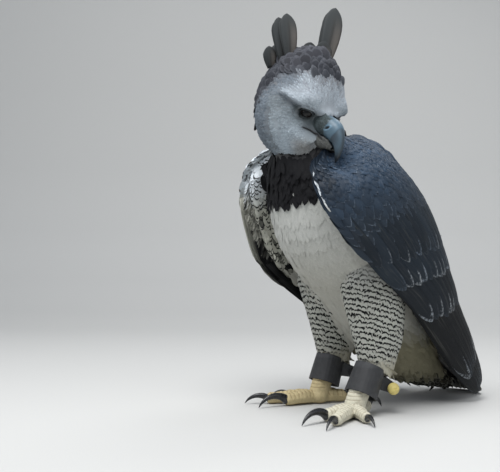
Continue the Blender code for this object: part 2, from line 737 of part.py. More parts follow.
def wing_arm_mesh(rows, sign):
    """The solid arm of a folded wing: a curved shield that thins towards its edges and its end."""
    rings = []
    for i in range(WING_RINGS):
        along = 0.004 + (WING_ARM_END - 0.004) * i / (WING_RINGS - 1)
        fade = 1 - (i / (WING_RINGS - 1)) ** 1.5
        thick = WING_ARM_THIN + (WING_ARM_THICK - WING_ARM_THIN) * fade
        outer, inner = [], []
        for j in range(WING_STRIPS + 1):
            across = 0.012 + 0.976 * j / WING_STRIPS
            point, _run, _over, normal = wing_frame(rows, sign, along, across)
            round_off = max(math.sin(math.pi * across), 0.0) ** 0.5
            outer.append(point - normal * (0.0030 * (1 - round_off)))
            inner.append(point - normal * (0.0045 + thick * round_off))
        rings.append(outer + inner[::-1])
    return mesh_of_rings("wing_arm", rings)


def wing_vanes(rows, sign, seed):
    """The feathers of a folded wing in tiers, from the primaries up to the lesser coverts."""
    vanes = []
    chance = random.Random(seed)
    for tier in WING_TIERS:
        name, count, root, lead_tip, trail_tip, c0, c1, d0, d1, width, steps = tier
        for k in range(count):
            share = k / (count - 1)
            from_across = c0 + (c1 - c0) * share
            to_across = d0 + (d1 - d0) * share
            tip = lead_tip + (trail_tip - lead_tip) * share + chance.uniform(-0.006, 0.006)
            spine = wing_spine(rows, sign, root, tip, from_across, to_across)
            vanes.append(vane_mesh(f"{name}_{k}", spine, width, steps))
    return vanes


def wing_spine(rows, sign, root, tip, from_across, to_across):
    """The spine of a wing feather, laid on the wing's face and rising off it towards its tip."""

    def spot(t):
        along = root + (tip - root) * t
        across = from_across + (to_across - from_across) * t
        point, _run, over, normal = wing_frame(rows, sign, min(along, 1.01), across)
        lift = -0.0035 + SHINGLE_RISE * (along - root)
        return point + normal * lift, normal

    def spine(t):
        point, normal = spot(t)
        tangent = (spot(min(t + 0.03, 1))[0] - spot(max(t - 0.03, 0))[0]).normalized()
        side = normal.cross(tangent).normalized() * sign
        roll = Matrix.Rotation(math.radians(SHINGLE_ROLL * sign), 3, tangent)
        side = roll @ side
        upward = side.cross(tangent).normalized()
        if upward.dot(normal) < 0:
            upward = -upward
        return point, side, upward

    return spine


def build_wing(name, rows, sign, seed, cutters):
    """A folded wing with its feathers, cut clear of what it lies on."""
    wing = add_object(name, wing_arm_mesh(rows, sign), "wing_feather")
    join_all(wing, wing_vanes(rows, sign, seed))
    for cutter in cutters:
        cut_by(wing, cutter)
    keep_largest(wing)
    return finish(wing, 30)


def tail_spine(place_across):
    """The spine of one tail feather. Place across runs from -1, the bird's right, to 1."""
    outer = abs(place_across)
    root, tip = place(*TAIL_ROOT), place(*TAIL_TIP)
    way = (tip - root).normalized()
    side0 = Vector((1, 0, 0))
    normal0 = side0.cross(way).normalized()
    if normal0.z < 0:
        normal0 = -normal0
    turn = math.radians(TAIL_HALF_SPREAD * place_across)
    run = way * math.cos(turn) + side0 * math.sin(turn)
    length = (tip - root).length - TAIL_OUTER_SHORT * outer**2
    under = TAIL_STEP * (TAIL_FEATHERS - 1) * 0.5 * outer
    start = root + side0 * (TAIL_ROOT_HALF_WIDTH * place_across) - normal0 * under

    def spine(t):
        arch = TAIL_ARCH * place_across**2 * (1 - 0.8 * t)
        sag = TAIL_BEND * 4 * t * (1 - t)
        point = start + run * (length * t) - normal0 * (arch + sag)
        roll = math.radians(4.0 * place_across * (1 - t))
        side = Matrix.Rotation(roll, 3, run) @ side0
        side = (side - run * side.dot(run)).normalized()
        normal = side.cross(run).normalized()
        return point, side, normal if normal.z > 0 else -normal

    return spine


def tail_core_mesh(grow=0.0):
    """The fleshy root of the tail, which joins its feathers."""
    points = [tail_spine(0)(t)[0] for t in (0.10, 0.24, 0.38, 0.52)]
    normal = tail_spine(0)(0.2)[2]
    sizes = [(0.034, 0.010, 0.018), (0.040, 0.009, 0.018), (0.040, 0.006, 0.014), (0.026, 0.001, 0.006)]
    return oval_tube("tail_core", points, sizes, normal, 12, grow)


def tail_slab_mesh(over, under):
    """A thick sheet round the whole fan of the tail, this far over and under its feathers."""
    rings = []
    for t in (0.0, 0.2, 0.4, 0.6, 0.8, 1.0, 1.06):
        upper, lower = [], []
        outermost = tail_spine(1.0)(t)[0]
        for across in (-1.0, -0.66, -0.33, 0.0, 0.33, 0.66, 1.0):
            point, side, normal = tail_spine(across)(t)
            if abs(across) == 1:
                point = point + side * (across * TAIL_FEATHER_WIDTH * 0.55)
            depth = max((point - outermost).dot(tail_spine(0.0)(t)[2]), 0.0)
            upper.append(point + normal * over)
            lower.append(point - normal * (depth + VANE_THICK + under))
        rings.append(upper + lower[::-1])
    return mesh_of_rings("tail_slab", rings)


def tail_covert_spine(place_across):
    """The spine of a small feather over the root of the tail."""
    _count, start, end, height, _width = TAIL_COVERTS
    below = tail_spine(place_across)

    def spine(t):
        point, side, normal = below(start + (end - start) * t)
        return point + normal * (height - 0.004 * t), side, normal

    return spine


def build_tail():
    """The tail feather by feather, with the small feathers over its root."""
    tail = add_object("tail", tail_core_mesh(), "tail_feather")
    vanes = []
    for k in range(TAIL_FEATHERS):
        across = -1 + 2 * k / (TAIL_FEATHERS - 1)
        vanes.append(vane_mesh(f"tail_{k}", tail_spine(across), TAIL_FEATHER_WIDTH, 4, VANE_THICK, 0.05))
    count, width = TAIL_COVERTS[0], TAIL_COVERTS[4]
    for k in range(count):
        across = 0.9 * (-1 + 2 * k / (count - 1))
        vanes.append(vane_mesh(f"tail_covert_{k}", tail_covert_spine(across), width, 3))
    join_all(tail, vanes, "EXACT")
    point, way = body_middle(RUMP_CUT_ALONG), body_tangent(RUMP_CUT_ALONG)
    slice_off(tail, point + way * (GAP / 2), -way)
    slice_off(tail, Vector((0, 0, SOLE)), Vector((0, 0, -1)))
    keep_largest(tail)
    return finish(tail, 30)


def build_body():
    """Neck, torso and rump, parted from one form by thin cuts."""
    cuts = {}
    for name, along in (("neck", NECK_CUT_ALONG), ("rump", RUMP_CUT_ALONG)):
        cuts[name] = (body_middle(along), body_tangent(along))
    neck = add_object("neck", body_mesh(), "neck_feather")
    point, way = cuts["neck"]
    slice_off(neck, point - way * (GAP / 2), way)
    for mesh in (head_mesh(2 * SKIN_GAP), *bill_meshes(SKIN_GAP)):
        cut_by(neck, mesh)
    torso = add_object("torso", body_mesh(), "breast_feather")
    slice_off(torso, point + way * (GAP / 2), -way)
    point, way = cuts["rump"]
    slice_off(torso, point - way * (GAP / 2), way)
    rump = add_object("rump", body_mesh(), "breast_feather")
    slice_off(rump, point + way * (GAP / 2), -way)
    cut_by(rump, tail_slab_mesh(0.20, SKIN_GAP), "EXACT")
    cut_by(rump, tail_core_mesh(SKIN_GAP), "EXACT")
    for obj in (neck, torso, rump):
        keep_largest(obj)
        finish(obj)


def leg_line(leg, share, up):
    """A point of the leg between hip and heel."""
    side = leg["hip"][0] + (leg["heel"][0] - leg["hip"][0]) * share
    ahead = leg["hip"][1] + (leg["heel"][1] - leg["hip"][1]) * share
    return place(side * leg["sign"], ahead, up)


def thigh_mesh(leg, grow=0.0):
    """The feathered thigh, widest under the belly and narrow at the heel."""
    rings = 12
    values = [flow(THIGH_ROWS, i / rings) for i in range(rings + 1)]
    points = [leg_line(leg, share, up) for share, up, *_ in values]
    sizes = [tuple(v[2:]) for v in values]
    return oval_tube("thigh", points, sizes, heading(0, 1, 0), 18, grow)


def shank_point(leg, up):
    """A point on the middle line of the tarsus."""
    share = (HEEL_UP - up) / (HEEL_UP - ANKLE_UP)
    side = leg["heel"][0] + (leg["ankle"][0] - leg["heel"][0]) * share
    ahead = leg["heel"][1] + (leg["ankle"][1] - leg["heel"][1]) * share
    return place(side * leg["sign"], ahead, up)


def shank_run(leg):
    """The way the tarsus runs, upwards."""
    return (shank_point(leg, HEEL_UP) - shank_point(leg, ANKLE_UP)).normalized()


def tarsus_mesh(leg, grow=0.0):
    """The bare tarsus from the heel down into the foot."""
    heights = np.linspace(HEEL_UP, 0.016, 3)
    points = [shank_point(leg, up) for up in heights]
    size = (TARSUS_HALF_WIDTH, TARSUS_HALF_DEPTH, TARSUS_HALF_DEPTH)
    return oval_tube("tarsus", points, [size] * len(points), heading(0, 1, 0.4), 16, grow)


def toe_way(leg, turn):
    """The way that a toe points, seen from above. Positive turns go outwards."""
    angle = math.radians(leg["splay"] + turn)
    return heading(math.sin(angle) * leg["sign"], math.cos(angle), 0)


def toe_mesh(leg, toe):
    """One toe with its scutes as ridges over its back."""
    _name, turn, length, thick, thin, scutes = toe
    way = toe_way(leg, turn)
    start = shank_point(leg, 0.016)
    start.z = 0.0
    steps = 2 * scutes
    points, sizes = [], []
    for i in range(steps + 1):
        share = i / steps
        radius = thick + (thin - thick) * share
        knuckle = 1 + 0.07 * math.cos(4 * math.pi * share)
        rise = 0.0025 * math.sin(math.pi * share)
        ridge = SCUTE_HEIGHT * (1 if i % 2 else -0.2)
        points.append(start + way * (length * share) + Vector((0, 0, radius * 0.92 + rise)))
        round_off = 0.80 if i == steps else 1.0
        sizes.append((
            radius * knuckle * round_off,
            (radius * knuckle + ridge) * round_off,
            radius * round_off,
        ))
    return oval_tube("toe", points, sizes, Vector((0, 0, 1)), TOE_SIDES)


def claw_mesh(leg, toe, grow=0.0):
    """A claw: it leaves the toe forwards and a little up, and curves down until its tip is over the floor."""
    name, turn, length, _thick, thin, _scutes = toe
    reach, half_width, half_height, bend = CLAWS[name]
    way = toe_way(leg, turn)
    up = Vector((0, 0, 1))
    start = shank_point(leg, 0.016)
    start.z = thin * 0.92
    point = start + way * (length - 0.004)
    points, sizes = [], []
    first = claw_first_pitch(reach, bend, point.z)
    for i in range(CLAW_RINGS + 1):
        share = i / CLAW_RINGS
        pitch = math.radians(first - bend * share)
        points.append(point.copy())
        point = point + (way * math.cos(pitch) + up * math.sin(pitch)) * (reach / CLAW_RINGS)
        taper = (1 - share) ** 0.75 * 0.94 + 0.05
        sizes.append((half_width * taper, half_height * taper, half_height * taper * 0.9))
    return oval_tube("claw", points, sizes, up + way * 0.6, CLAW_SIDES, grow, power=2.3)


def claw_first_pitch(reach, bend, height):
    """The pitch at which a claw starts, so that its tip ends one millimetre over the floor."""
    low, high = -20.0, 90.0
    for _ in range(40):
        first = (low + high) / 2
        end = height
        for i in range(CLAW_RINGS):
            end += math.sin(math.radians(first - bend * i / CLAW_RINGS)) * reach / CLAW_RINGS
        if end > 0.0016:
            high = first
        else:
            low = first
    return first


def build_leg(side_name, leg):
    """Thigh, tarsus, foot and claws of one leg."""
    thigh = add_object(f"thigh_{side_name}", thigh_mesh(leg), "thigh_feather")
    cut_by(thigh, body_mesh(SKIN_GAP))
    heel, run = shank_point(leg, THIGH_CUT_UP), shank_run(leg)
    slice_off(thigh, heel + run * (GAP / 2), -run)
    tarsus = add_object(f"tarsus_{side_name}", tarsus_mesh(leg), "foot_scale")
    slice_off(tarsus, heel - run * (GAP / 2), run)
    slice_off(tarsus, place(0, 0, ANKLE_CUT_UP + GAP / 2), Vector((0, 0, -1)))
    pad_middle = shank_point(leg, 0.016)
    pad_middle.z = PAD_HEIGHT * 0.9
    axes = (toe_way(leg, 90), -toe_way(leg, 0), Vector((0, 0, 1)))
    pad = ball_mesh("pad", pad_middle, (PAD_RADIUS, PAD_RADIUS, PAD_HEIGHT), axes, 12, 8)
    foot = add_object(f"foot_{side_name}", pad, "foot_scale")
    join_all(foot, [tarsus_mesh(leg)] + [toe_mesh(leg, toe) for toe in TOES], "EXACT")
    slice_off(foot, place(0, 0, ANKLE_CUT_UP - GAP / 2), Vector((0, 0, 1)))
    slice_off(foot, Vector((0, 0, SOLE)), Vector((0, 0, -1)))
    for toe in TOES:
        cut_by(foot, claw_mesh(leg, toe, GAP))
        claw = add_object(f"claw_{side_name}_{toe[0]}", claw_mesh(leg, toe), "claw_horn")
        finish(claw)
    for obj in (thigh, tarsus, foot):
        keep_largest(obj)
        finish(obj)


def cuff_ring(leg, up, wall):
    """The oval of an anklet at a height, this far out from the inside of its wall."""
    middle = shank_point(leg, up)
    run = shank_run(leg)
    ahead = heading(0, 1, 0)
    out = (ahead - run * ahead.dot(run)).normalized()
    across = run.cross(out)
    share = (up - ANKLET_LOW) / (ANKLET_HIGH - ANKLET_LOW)
    side = ANKLET_SIDE_LOW + (ANKLET_SIDE_TOP - ANKLET_SIDE_LOW) * share + wall
    back = ANKLET_BACK_LOW + (ANKLET_BACK_TOP - ANKLET_BACK_LOW) * share + wall
    front = ANKLET_CLEAR + wall
    sizes = (TARSUS_HALF_WIDTH + side, TARSUS_HALF_DEPTH + front, TARSUS_HALF_DEPTH + back)
    return ring_of(middle, across, out, *sizes, ANKLET_SIDES)


def cuff_mesh(leg):
    """A leather cuff round the tarsus, as a wall with rounded rims."""
    inner, outer = [], []
    for i in range(ANKLET_LEVELS + 1):
        up = ANKLET_LOW + (ANKLET_HIGH - ANKLET_LOW) * i / ANKLET_LEVELS
        inner.append(cuff_ring(leg, up, 0.0))
        outer.append(cuff_ring(leg, up, ANKLET_THICK))
    profile = inner + outer[::-1]
    form = bmesh.new()
    rows = [[form.verts.new(p) for p in ring] for ring in profile]
    for a, b in zip(rows, rows[1:] + rows[:1]):
        for i in range(ANKLET_SIDES):
            j = (i + 1) % ANKLET_SIDES
            form.faces.new((a[i], a[j], b[j], b[i]))
    return mesh_from(form, "cuff")


def flap_axes(leg):
    """The way the flap leaves the cuff, the way it faces and the way up."""
    angle = math.radians(leg["flap_turn"])
    out = heading(math.sin(angle) * leg["sign"], math.cos(angle), 0)
    up = shank_run(leg)
    out = (out - up * out.dot(up)).normalized()
    return out, out.cross(up), up


def flap_middle(leg):
    """The middle of the flap, which starts within the wall of the cuff."""
    turn = math.radians(leg["flap_turn"])
    side = TARSUS_HALF_WIDTH + (ANKLET_SIDE_LOW + ANKLET_SIDE_TOP + ANKLET_THICK) / 2
    back = TARSUS_HALF_DEPTH + (ANKLET_BACK_LOW + ANKLET_BACK_TOP + ANKLET_THICK) / 2
    wall = 1 / math.hypot(math.sin(turn) / side, math.cos(turn) / back)
    out = flap_axes(leg)[0]
    return shank_point(leg, FLAP_UP) + out * (wall + FLAP_LENGTH / 2)


def flap_mesh(leg):
    """The two ends of the strap, laid together and rounded off, as one flat tab."""
    out, face, up = flap_axes(leg)
    form = bmesh.new()
    bmesh.ops.create_cube(form, size=1.0)
    turn = Matrix((face, out, up)).transposed()
    for vert in form.verts:
        scaled = Vector((vert.co.x * FLAP_THICK, vert.co.y * FLAP_LENGTH, vert.co.z * FLAP_HEIGHT))
        if vert.co.y > 0:
            scaled.z *= FLAP_TAPER
        vert.co = flap_middle(leg) + turn @ scaled
    bmesh.ops.bevel(form, geom=form.edges[:], offset=0.0014, segments=1, affect="EDGES")
    return mesh_from(form, "flap")


def build_anklet(side_name, leg):
    """A leather anklet with its flap, clear of the tarsus inside it."""
    anklet = add_object(f"anklet_{side_name}", cuff_mesh(leg), "leather")
    join_all(anklet, [flap_mesh(leg)])
    cut_by(anklet, tarsus_mesh(leg, SKIN_GAP))
    keep_largest(anklet)
    return finish(anklet)


def build_button():
    """The knotted yellow button on the left anklet's flap: a ball with a slanting fold."""
    out, face, up = flap_axes(LEFT_LEG)
    at = flap_middle(LEFT_LEG) + out * 0.004 + up * (BUTTON_UP - FLAP_UP)
    middle = at + face * (FLAP_THICK / 2 + BUTTON_RADIUS * 0.72 + GAP)
    size = (BUTTON_RADIUS * 0.88, BUTTON_RADIUS, BUTTON_RADIUS)
    button = add_object("button_left", ball_mesh("button", middle, size, (face, out, up), 16, 10), "button")
    slant = (out + up * 0.8).normalized()
    points = [middle + face * (BUTTON_RADIUS * 0.95) + slant * (BUTTON_RADIUS * s) for s in (-0.75, 0, 0.75)]
    cut_by(button, oval_tube("fold", points, [(0.0012, 0.0030, 0.0030)] * 3, face, 8))
    slice_off(button, at + face * (FLAP_THICK / 2 + GAP), -face)
    keep_largest(button)
    return finish(button)


def build_eyelet():
    """The blackened eyelet on the right anklet's flap, a flat ring."""
    out, face, up = flap_axes(RIGHT_LEG)
    at = flap_middle(RIGHT_LEG) + out * 0.003
    rings = []
    for radius, depth in (
        (EYELET_BORE, 0.0),
        (EYELET_RADIUS, 0.0),
        (EYELET_RADIUS - 0.0008, EYELET_THICK),
        (EYELET_BORE + 0.0008, EYELET_THICK),
    ):
        middle = at + face * (FLAP_THICK / 2 + GAP + depth)
        rings.append(ring_of(middle, out, up, radius, radius, radius, 18))
    form = bmesh.new()
    rows = [[form.verts.new(p) for p in ring] for ring in rings]
    for a, b in zip(rows, rows[1:] + rows[:1]):
        for i in range(len(a)):
            j = (i + 1) % len(a)
            form.faces.new((a[i], a[j], b[j], b[i]))
    return finish(add_object("eyelet_right", mesh_from(form, "eyelet"), "blackened_steel"))


def main():
    """Clears the scene and builds the bird."""
    for obj in list(bpy.data.objects):
        bpy.data.objects.remove(obj)
    build_body()
    build_head()
    build_crest("crest_right", 1)
    build_crest("crest_left", -1)
    for side_name, leg in (("left", LEFT_LEG), ("right", RIGHT_LEG)):
        build_leg(side_name, leg)
        build_anklet(side_name, leg)
    build_button()
    build_eyelet()
    build_tail()
    for name, rows, leg, seed in (
        ("wing_left", LEFT_WING_ROWS, LEFT_LEG, LEFT_SEED),
        ("wing_right", RIGHT_WING_ROWS, RIGHT_LEG, RIGHT_SEED),
    ):
        cutters = [
            body_mesh(SKIN_GAP),
            thigh_mesh(leg, SKIN_GAP),
            head_mesh(SKIN_GAP),
            tail_slab_mesh(WING_OVER_TAIL, WING_UNDER_TAIL),
            *bill_meshes(SKIN_GAP),
        ]
        build_wing(name, rows, leg["sign"], seed, cutters)
    for name in ("cutters", "pieces"):
        spare = bpy.data.collections.get(name)
        if spare:
            bpy.data.collections.remove(spare)


if __name__ == "__main__":
    main()
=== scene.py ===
import math

import bmesh
import bpy
import numpy as np
from bpy.props import FloatProperty, FloatVectorProperty, IntProperty, PointerProperty
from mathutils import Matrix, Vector, kdtree
from mathutils.bvhtree import BVHTree


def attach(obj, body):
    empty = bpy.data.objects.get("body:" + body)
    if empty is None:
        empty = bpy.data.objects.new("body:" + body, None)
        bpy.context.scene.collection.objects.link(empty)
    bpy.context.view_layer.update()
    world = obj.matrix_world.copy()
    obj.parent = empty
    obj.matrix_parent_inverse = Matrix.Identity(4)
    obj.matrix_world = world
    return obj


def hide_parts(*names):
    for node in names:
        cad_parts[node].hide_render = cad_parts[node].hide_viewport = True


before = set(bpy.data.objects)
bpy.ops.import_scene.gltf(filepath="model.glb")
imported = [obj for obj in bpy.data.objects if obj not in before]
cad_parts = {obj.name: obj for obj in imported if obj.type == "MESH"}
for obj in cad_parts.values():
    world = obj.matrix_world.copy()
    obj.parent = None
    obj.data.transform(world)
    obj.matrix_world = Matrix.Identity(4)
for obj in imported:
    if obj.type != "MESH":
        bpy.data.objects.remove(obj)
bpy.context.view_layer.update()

bl_info = {
    "name": "Harpy eagle, life-size model",
    "version": (1, 0, 0),
    "blender": (4, 5, 0),
    "location": "3D View > Sidebar > Eagle",
    "description": "Skin, feathers, bill, feet and leather anklets of a still, life-size harpy eagle",
    "category": "Object",
}

# ---------------------------------------------------------------- sizes shared with the solids, in metres

BOX_MIDDLE = (-0.0030, -0.0872)
# The body: along, ahead, up, half width, depth in front, depth behind
BODY_ROWS = (
    (0.00, 0.104, 0.560, 0.046, 0.046, 0.046), (0.08, 0.098, 0.525, 0.060, 0.056, 0.060),
    (0.17, 0.085, 0.482, 0.084, 0.074, 0.084), (0.27, 0.062, 0.435, 0.112, 0.094, 0.136),
    (0.39, 0.030, 0.378, 0.127, 0.112, 0.172), (0.52, -0.010, 0.312, 0.126, 0.108, 0.178),
    (0.65, -0.052, 0.248, 0.110, 0.092, 0.152), (0.77, -0.100, 0.184, 0.086, 0.088, 0.086),
    (0.87, -0.160, 0.128, 0.068, 0.086, 0.036), (0.95, -0.218, 0.076, 0.050, 0.058, 0.014),
    (1.00, -0.272, 0.030, 0.026, 0.014, 0.006),
)
HEAD_AT = (0.006, 0.106, 0.572)
HEAD_TURN, HEAD_NOD, HEAD_TILT = 93.0, 25.0, 4.0
HEAD_FRONT, HEAD_BACK, HEAD_SIDE, HEAD_UP, HEAD_DOWN = 0.074, 0.090, 0.081, 0.103, 0.098
# Forms of the face: forward, sideways, up, spread in degrees, height
FACE_FORMS = (
    (0.060, 0.045, 0.0185, 13, 0.0095), (0.071, 0.026, 0.014, 11, 0.0045), (0.060, 0.046, -0.006, 11, -0.0070),
    (0.068, 0.028, -0.014, 11, -0.0065), (0.040, 0.066, -0.040, 20, 0.0050), (-0.010, 0.078, -0.035, 24, 0.0070),
    (0.040, 0.050, -0.064, 11, -0.0050), (0.015, 0.050, -0.072, 24, 0.0110), (0.056, 0.034, -0.058, 19, 0.0170),
    (0.070, 0.010, -0.051, 16, 0.0145),
)
# Fine forms that only the skin has: points over the head, spread in degrees, height
BROW = ((0.027, 0.074, 0.0200), (0.042, 0.067, 0.0180), (0.055, 0.059, 0.0135), (0.065, 0.049, 0.0100), (0.071, 0.036, 0.0080),
        (0.075, 0.020, 0.0070))
UNDER_BROW = ((0.043, 0.067, 0.0060), (0.053, 0.057, 0.0020), (0.058, 0.043, -0.0010), (0.065, 0.032, -0.0020), (0.074, 0.014, -0.0020))
# Line of painted shadow under the back of the brow ridge
BEHIND_EYE_SHADOW = ((0.052, 0.057, 0.0050), (0.043, 0.067, 0.0090), (0.030, 0.074, 0.0130), (0.018, 0.079, 0.0150))
LORES = ((0.058, 0.043, -0.0060), (0.066, 0.030, -0.0110), (0.074, 0.018, -0.0150), (0.084, 0.014, -0.0180))
GAPE = ((0.0657, 0.0381, -0.0245), (0.0725, 0.0249, -0.0262), (0.0788, 0.0147, -0.0290))
JOWL_EDGE = ((0.010, 0.082, -0.020), (0.017, 0.078, -0.041), (0.028, 0.066, -0.069), (0.037, 0.045, -0.086))
FACE_LINES = (
    (((0.088, 0.0165, -0.013), (0.088, 0.012, 0.000), (0.086, 0.0, 0.006)), 8.0, 0.0085),
    (((0.095, 0.006, -0.052), (0.090, 0.004, -0.068)), 14.0, 0.0080), (BROW, 5.0, 0.0036), (UNDER_BROW, 5.5, -0.0035), (JOWL_EDGE, 5.0, -0.0022), (((0.030, 0.066, -0.030), (0.040, 0.058, -0.048), (0.050, 0.042, -0.064)), 4.5, -0.0016),
    (((0.050, 0.046, -0.034), (0.062, 0.036, -0.038), (0.074, 0.024, -0.040)), 4.5, 0.0025),
)
EYE_AT, EYE_RADIUS = (0.0550, 0.0325, 0.0000), 0.0125
LID_HALF_WIDTH, LID_HALF_HEIGHT, LID_SLANT = 0.0112, 0.0064, 5.0
# The bill: along, forward, up, half width, height over and under the middle line
UPPER_BILL_ROWS = (
    (0.00, 0.0500, -0.0120, 0.0150, 0.0150, 0.0150), (0.22, 0.0830, -0.0120, 0.0168, 0.0185, 0.0165),
    (0.42, 0.1030, -0.0155, 0.0152, 0.0190, 0.0160), (0.58, 0.1165, -0.0240, 0.0116, 0.0152, 0.0118),
    (0.72, 0.1245, -0.0345, 0.0080, 0.0110, 0.0078), (0.84, 0.1290, -0.0450, 0.0055, 0.0074, 0.0052),
    (0.94, 0.1312, -0.0545, 0.0036, 0.0045, 0.0036), (1.00, 0.1320, -0.0625, 0.0010, 0.0012, 0.0010),
)
LOWER_BILL_ROWS = (
    (0.00, 0.0560, -0.0390, 0.0165, 0.0120, 0.0100), (0.40, 0.0820, -0.0380, 0.0145, 0.0110, 0.0100),
    (0.75, 0.0990, -0.0385, 0.0110, 0.0090, 0.0080), (1.00, 0.1090, -0.0415, 0.0050, 0.0040, 0.0040),
)
NOSTRIL_AT = (0.0985, 0.0150, -0.0110)
MOUTH_ROWS = (
    (0.0, 0.0640, 0.0410, -0.0258), (0.3, 0.0710, 0.0275, -0.0268), (0.55, 0.0785, 0.0180, -0.0290), (0.8, 0.0920, 0.0168, -0.0305),
    (1.0, 0.1050, 0.0145, -0.0330),
)
# Crest feathers: root, tip, width
CREST_ROWS = (
    (-0.024, 0.042, 0.072, -0.070, 0.068, 0.164, 0.036), (-0.034, 0.046, 0.064, -0.074, 0.078, 0.152, 0.034),
    (-0.048, 0.058, 0.046, -0.062, 0.080, 0.092, 0.028), (-0.018, 0.028, 0.080, -0.036, 0.036, 0.108, 0.030),
    (-0.050, 0.036, 0.054, -0.082, 0.046, 0.096, 0.034),
)
CREST_RAISE, CREST_LEAN = {-1: 0.014, 1: -0.019}, {-1: 0.010, 1: -0.024}
# Folded wings: along, then side, ahead and up of the leading and of the trailing edge, and the swell
WING_ROWS = {
    1: (
        (0.00, 0.078, 0.092, 0.500, 0.026, -0.006, 0.520, 0.012), (0.10, 0.108, 0.158, 0.450, 0.024, -0.068, 0.500, 0.036),
        (0.20, 0.127, 0.156, 0.398, 0.022, -0.122, 0.464, 0.054), (0.33, 0.140, 0.108, 0.330, 0.022, -0.178, 0.404, 0.062),
        (0.46, 0.141, 0.032, 0.260, 0.022, -0.205, 0.330, 0.058), (0.57, 0.134, -0.042, 0.212, 0.022, -0.221, 0.262, 0.050),
        (0.70, 0.118, -0.120, 0.146, 0.022, -0.247, 0.190, 0.038), (0.82, 0.106, -0.184, 0.086, 0.048, -0.270, 0.126, 0.022),
        (0.93, 0.096, -0.238, 0.040, 0.066, -0.287, 0.066, 0.008), (1.02, 0.084, -0.270, 0.016, 0.074, -0.292, 0.024, 0.002),
    ),
    -1: (
        (0.00, 0.100, 0.080, 0.508, 0.026, -0.006, 0.524, 0.012), (0.10, 0.158, 0.114, 0.462, 0.024, -0.068, 0.504, 0.036),
        (0.20, 0.170, 0.120, 0.408, 0.022, -0.122, 0.468, 0.050), (0.33, 0.176, 0.092, 0.332, 0.022, -0.178, 0.406, 0.056),
        (0.46, 0.172, 0.050, 0.260, 0.022, -0.205, 0.330, 0.054), (0.57, 0.152, -0.020, 0.208, 0.022, -0.221, 0.262, 0.048),
        (0.70, 0.126, -0.108, 0.146, 0.022, -0.247, 0.190, 0.038), (0.82, 0.108, -0.180, 0.086, 0.048, -0.270, 0.126, 0.022),
        (0.93, 0.097, -0.237, 0.040, 0.066, -0.287, 0.066, 0.008), (1.02, 0.084, -0.270, 0.016, 0.074, -0.292, 0.024, 0.002),
    ),
}
TAIL_ROOT, TAIL_TIP = (0.0, -0.085, 0.262), (0.0, -0.367, 0.0005)
LEGS = {
    1: dict(hip=(0.066, -0.010), heel=(0.083, -0.012), ankle=(0.082, 0.038), splay=29.0),
    -1: dict(hip=(0.064, -0.018), heel=(0.072, -0.045), ankle=(0.070, -0.006), splay=31.0),
}
HEEL_UP, ANKLE_UP = 0.128, 0.030
# Toes: turn, length, radius at root and end, scutes; and the claw: length, half width, half height, bend
TOES = {
    "inner": (-23.0, 0.076, 0.0140, 0.0118, 9, 0.072, 0.0078, 0.0092, 98.0),
    "middle": (0.0, 0.102, 0.0138, 0.0106, 13, 0.054, 0.0062, 0.0074, 92.0),
    "outer": (38.0, 0.072, 0.0125, 0.0098, 9, 0.046, 0.0056, 0.0068, 92.0),
    "hind": (172.0, 0.056, 0.0145, 0.0122, 6, 0.078, 0.0078, 0.0094, 100.0),
}
SIDES = {1: "left", -1: "right"}
# Where the tip of the bill presses into the feathers of the shoulder: place, way in, depth, radius
PRESS_AT, PRESS_WAY, PRESS_DEPTH, PRESS_RADIUS = (0.1080, -0.1945, 0.4680), (-0.67, 0.21, -0.71), 0.024, 0.036
FLESH = ("head", "neck", "torso", "rump", "thigh_left", "thigh_right")
PATCH = 0.003  # a tuft's patch on the OFBake map


def hexed(value):
    """An sRGB hex colour as linear red, green and blue."""
    parts = [int(value[i:i + 2], 16) / 255 for i in (1, 3, 5)]
    return tuple(p / 12.92 if p <= 0.04045 else ((p + 0.055) / 1.055) ** 2.4 for p in parts)


def length_of(name, description, default):
    """A length that a user may change."""
    return FloatProperty(name=name, description=description, default=default, min=0.0001, unit="LENGTH")


def colour_of(name, description, default):
    """A colour that a user may change."""
    return FloatVectorProperty(
        name=name, description=description, default=hexed(default), size=3, min=0, max=1, subtype="COLOR"
    )


class EagleSizes(bpy.types.PropertyGroup):
    """Lengths of the coat and its parts."""

    skin_voxel: length_of("Skin grain", "Size of the cells in which the skin is fused", 0.0030)
    face_depth: length_of("Face coat depth", "How far the skin of the face lies inside the solid", 0.0022)
    body_depth: length_of("Body coat depth", "How far the skin of the body lies inside the solid", 0.0045)
    thigh_depth: length_of("Thigh coat depth", "How far the skin of the thighs lies inside the solid", 0.0036)
    face_feather: length_of("Face feather", "Length of the feathers of the forehead", 0.0085)
    crown_feather: length_of("Crown feather", "Length of the feathers of the crown", 0.0250)
    bib_feather: length_of("Bib feather", "Length of the dark feathers over the crop", 0.0300)
    breast_feather: length_of("Breast feather", "Length of the feathers of the breast", 0.0260)
    thigh_feather: length_of("Thigh feather", "Length of the barred feathers of the thigh", 0.0190)
    back_feather: length_of("Shoulder feather", "Length of the feathers between the wings", 0.0420)
    rump_feather: length_of("Rump feather", "Length of the loose feathers under the tail", 0.0340)
    bar_spacing: length_of("Bar spacing", "Distance between the dark bars of the thigh", 0.0095)
    claw_sides: IntProperty(name="Claw sides", description="Sides round a claw", default=22, min=8)


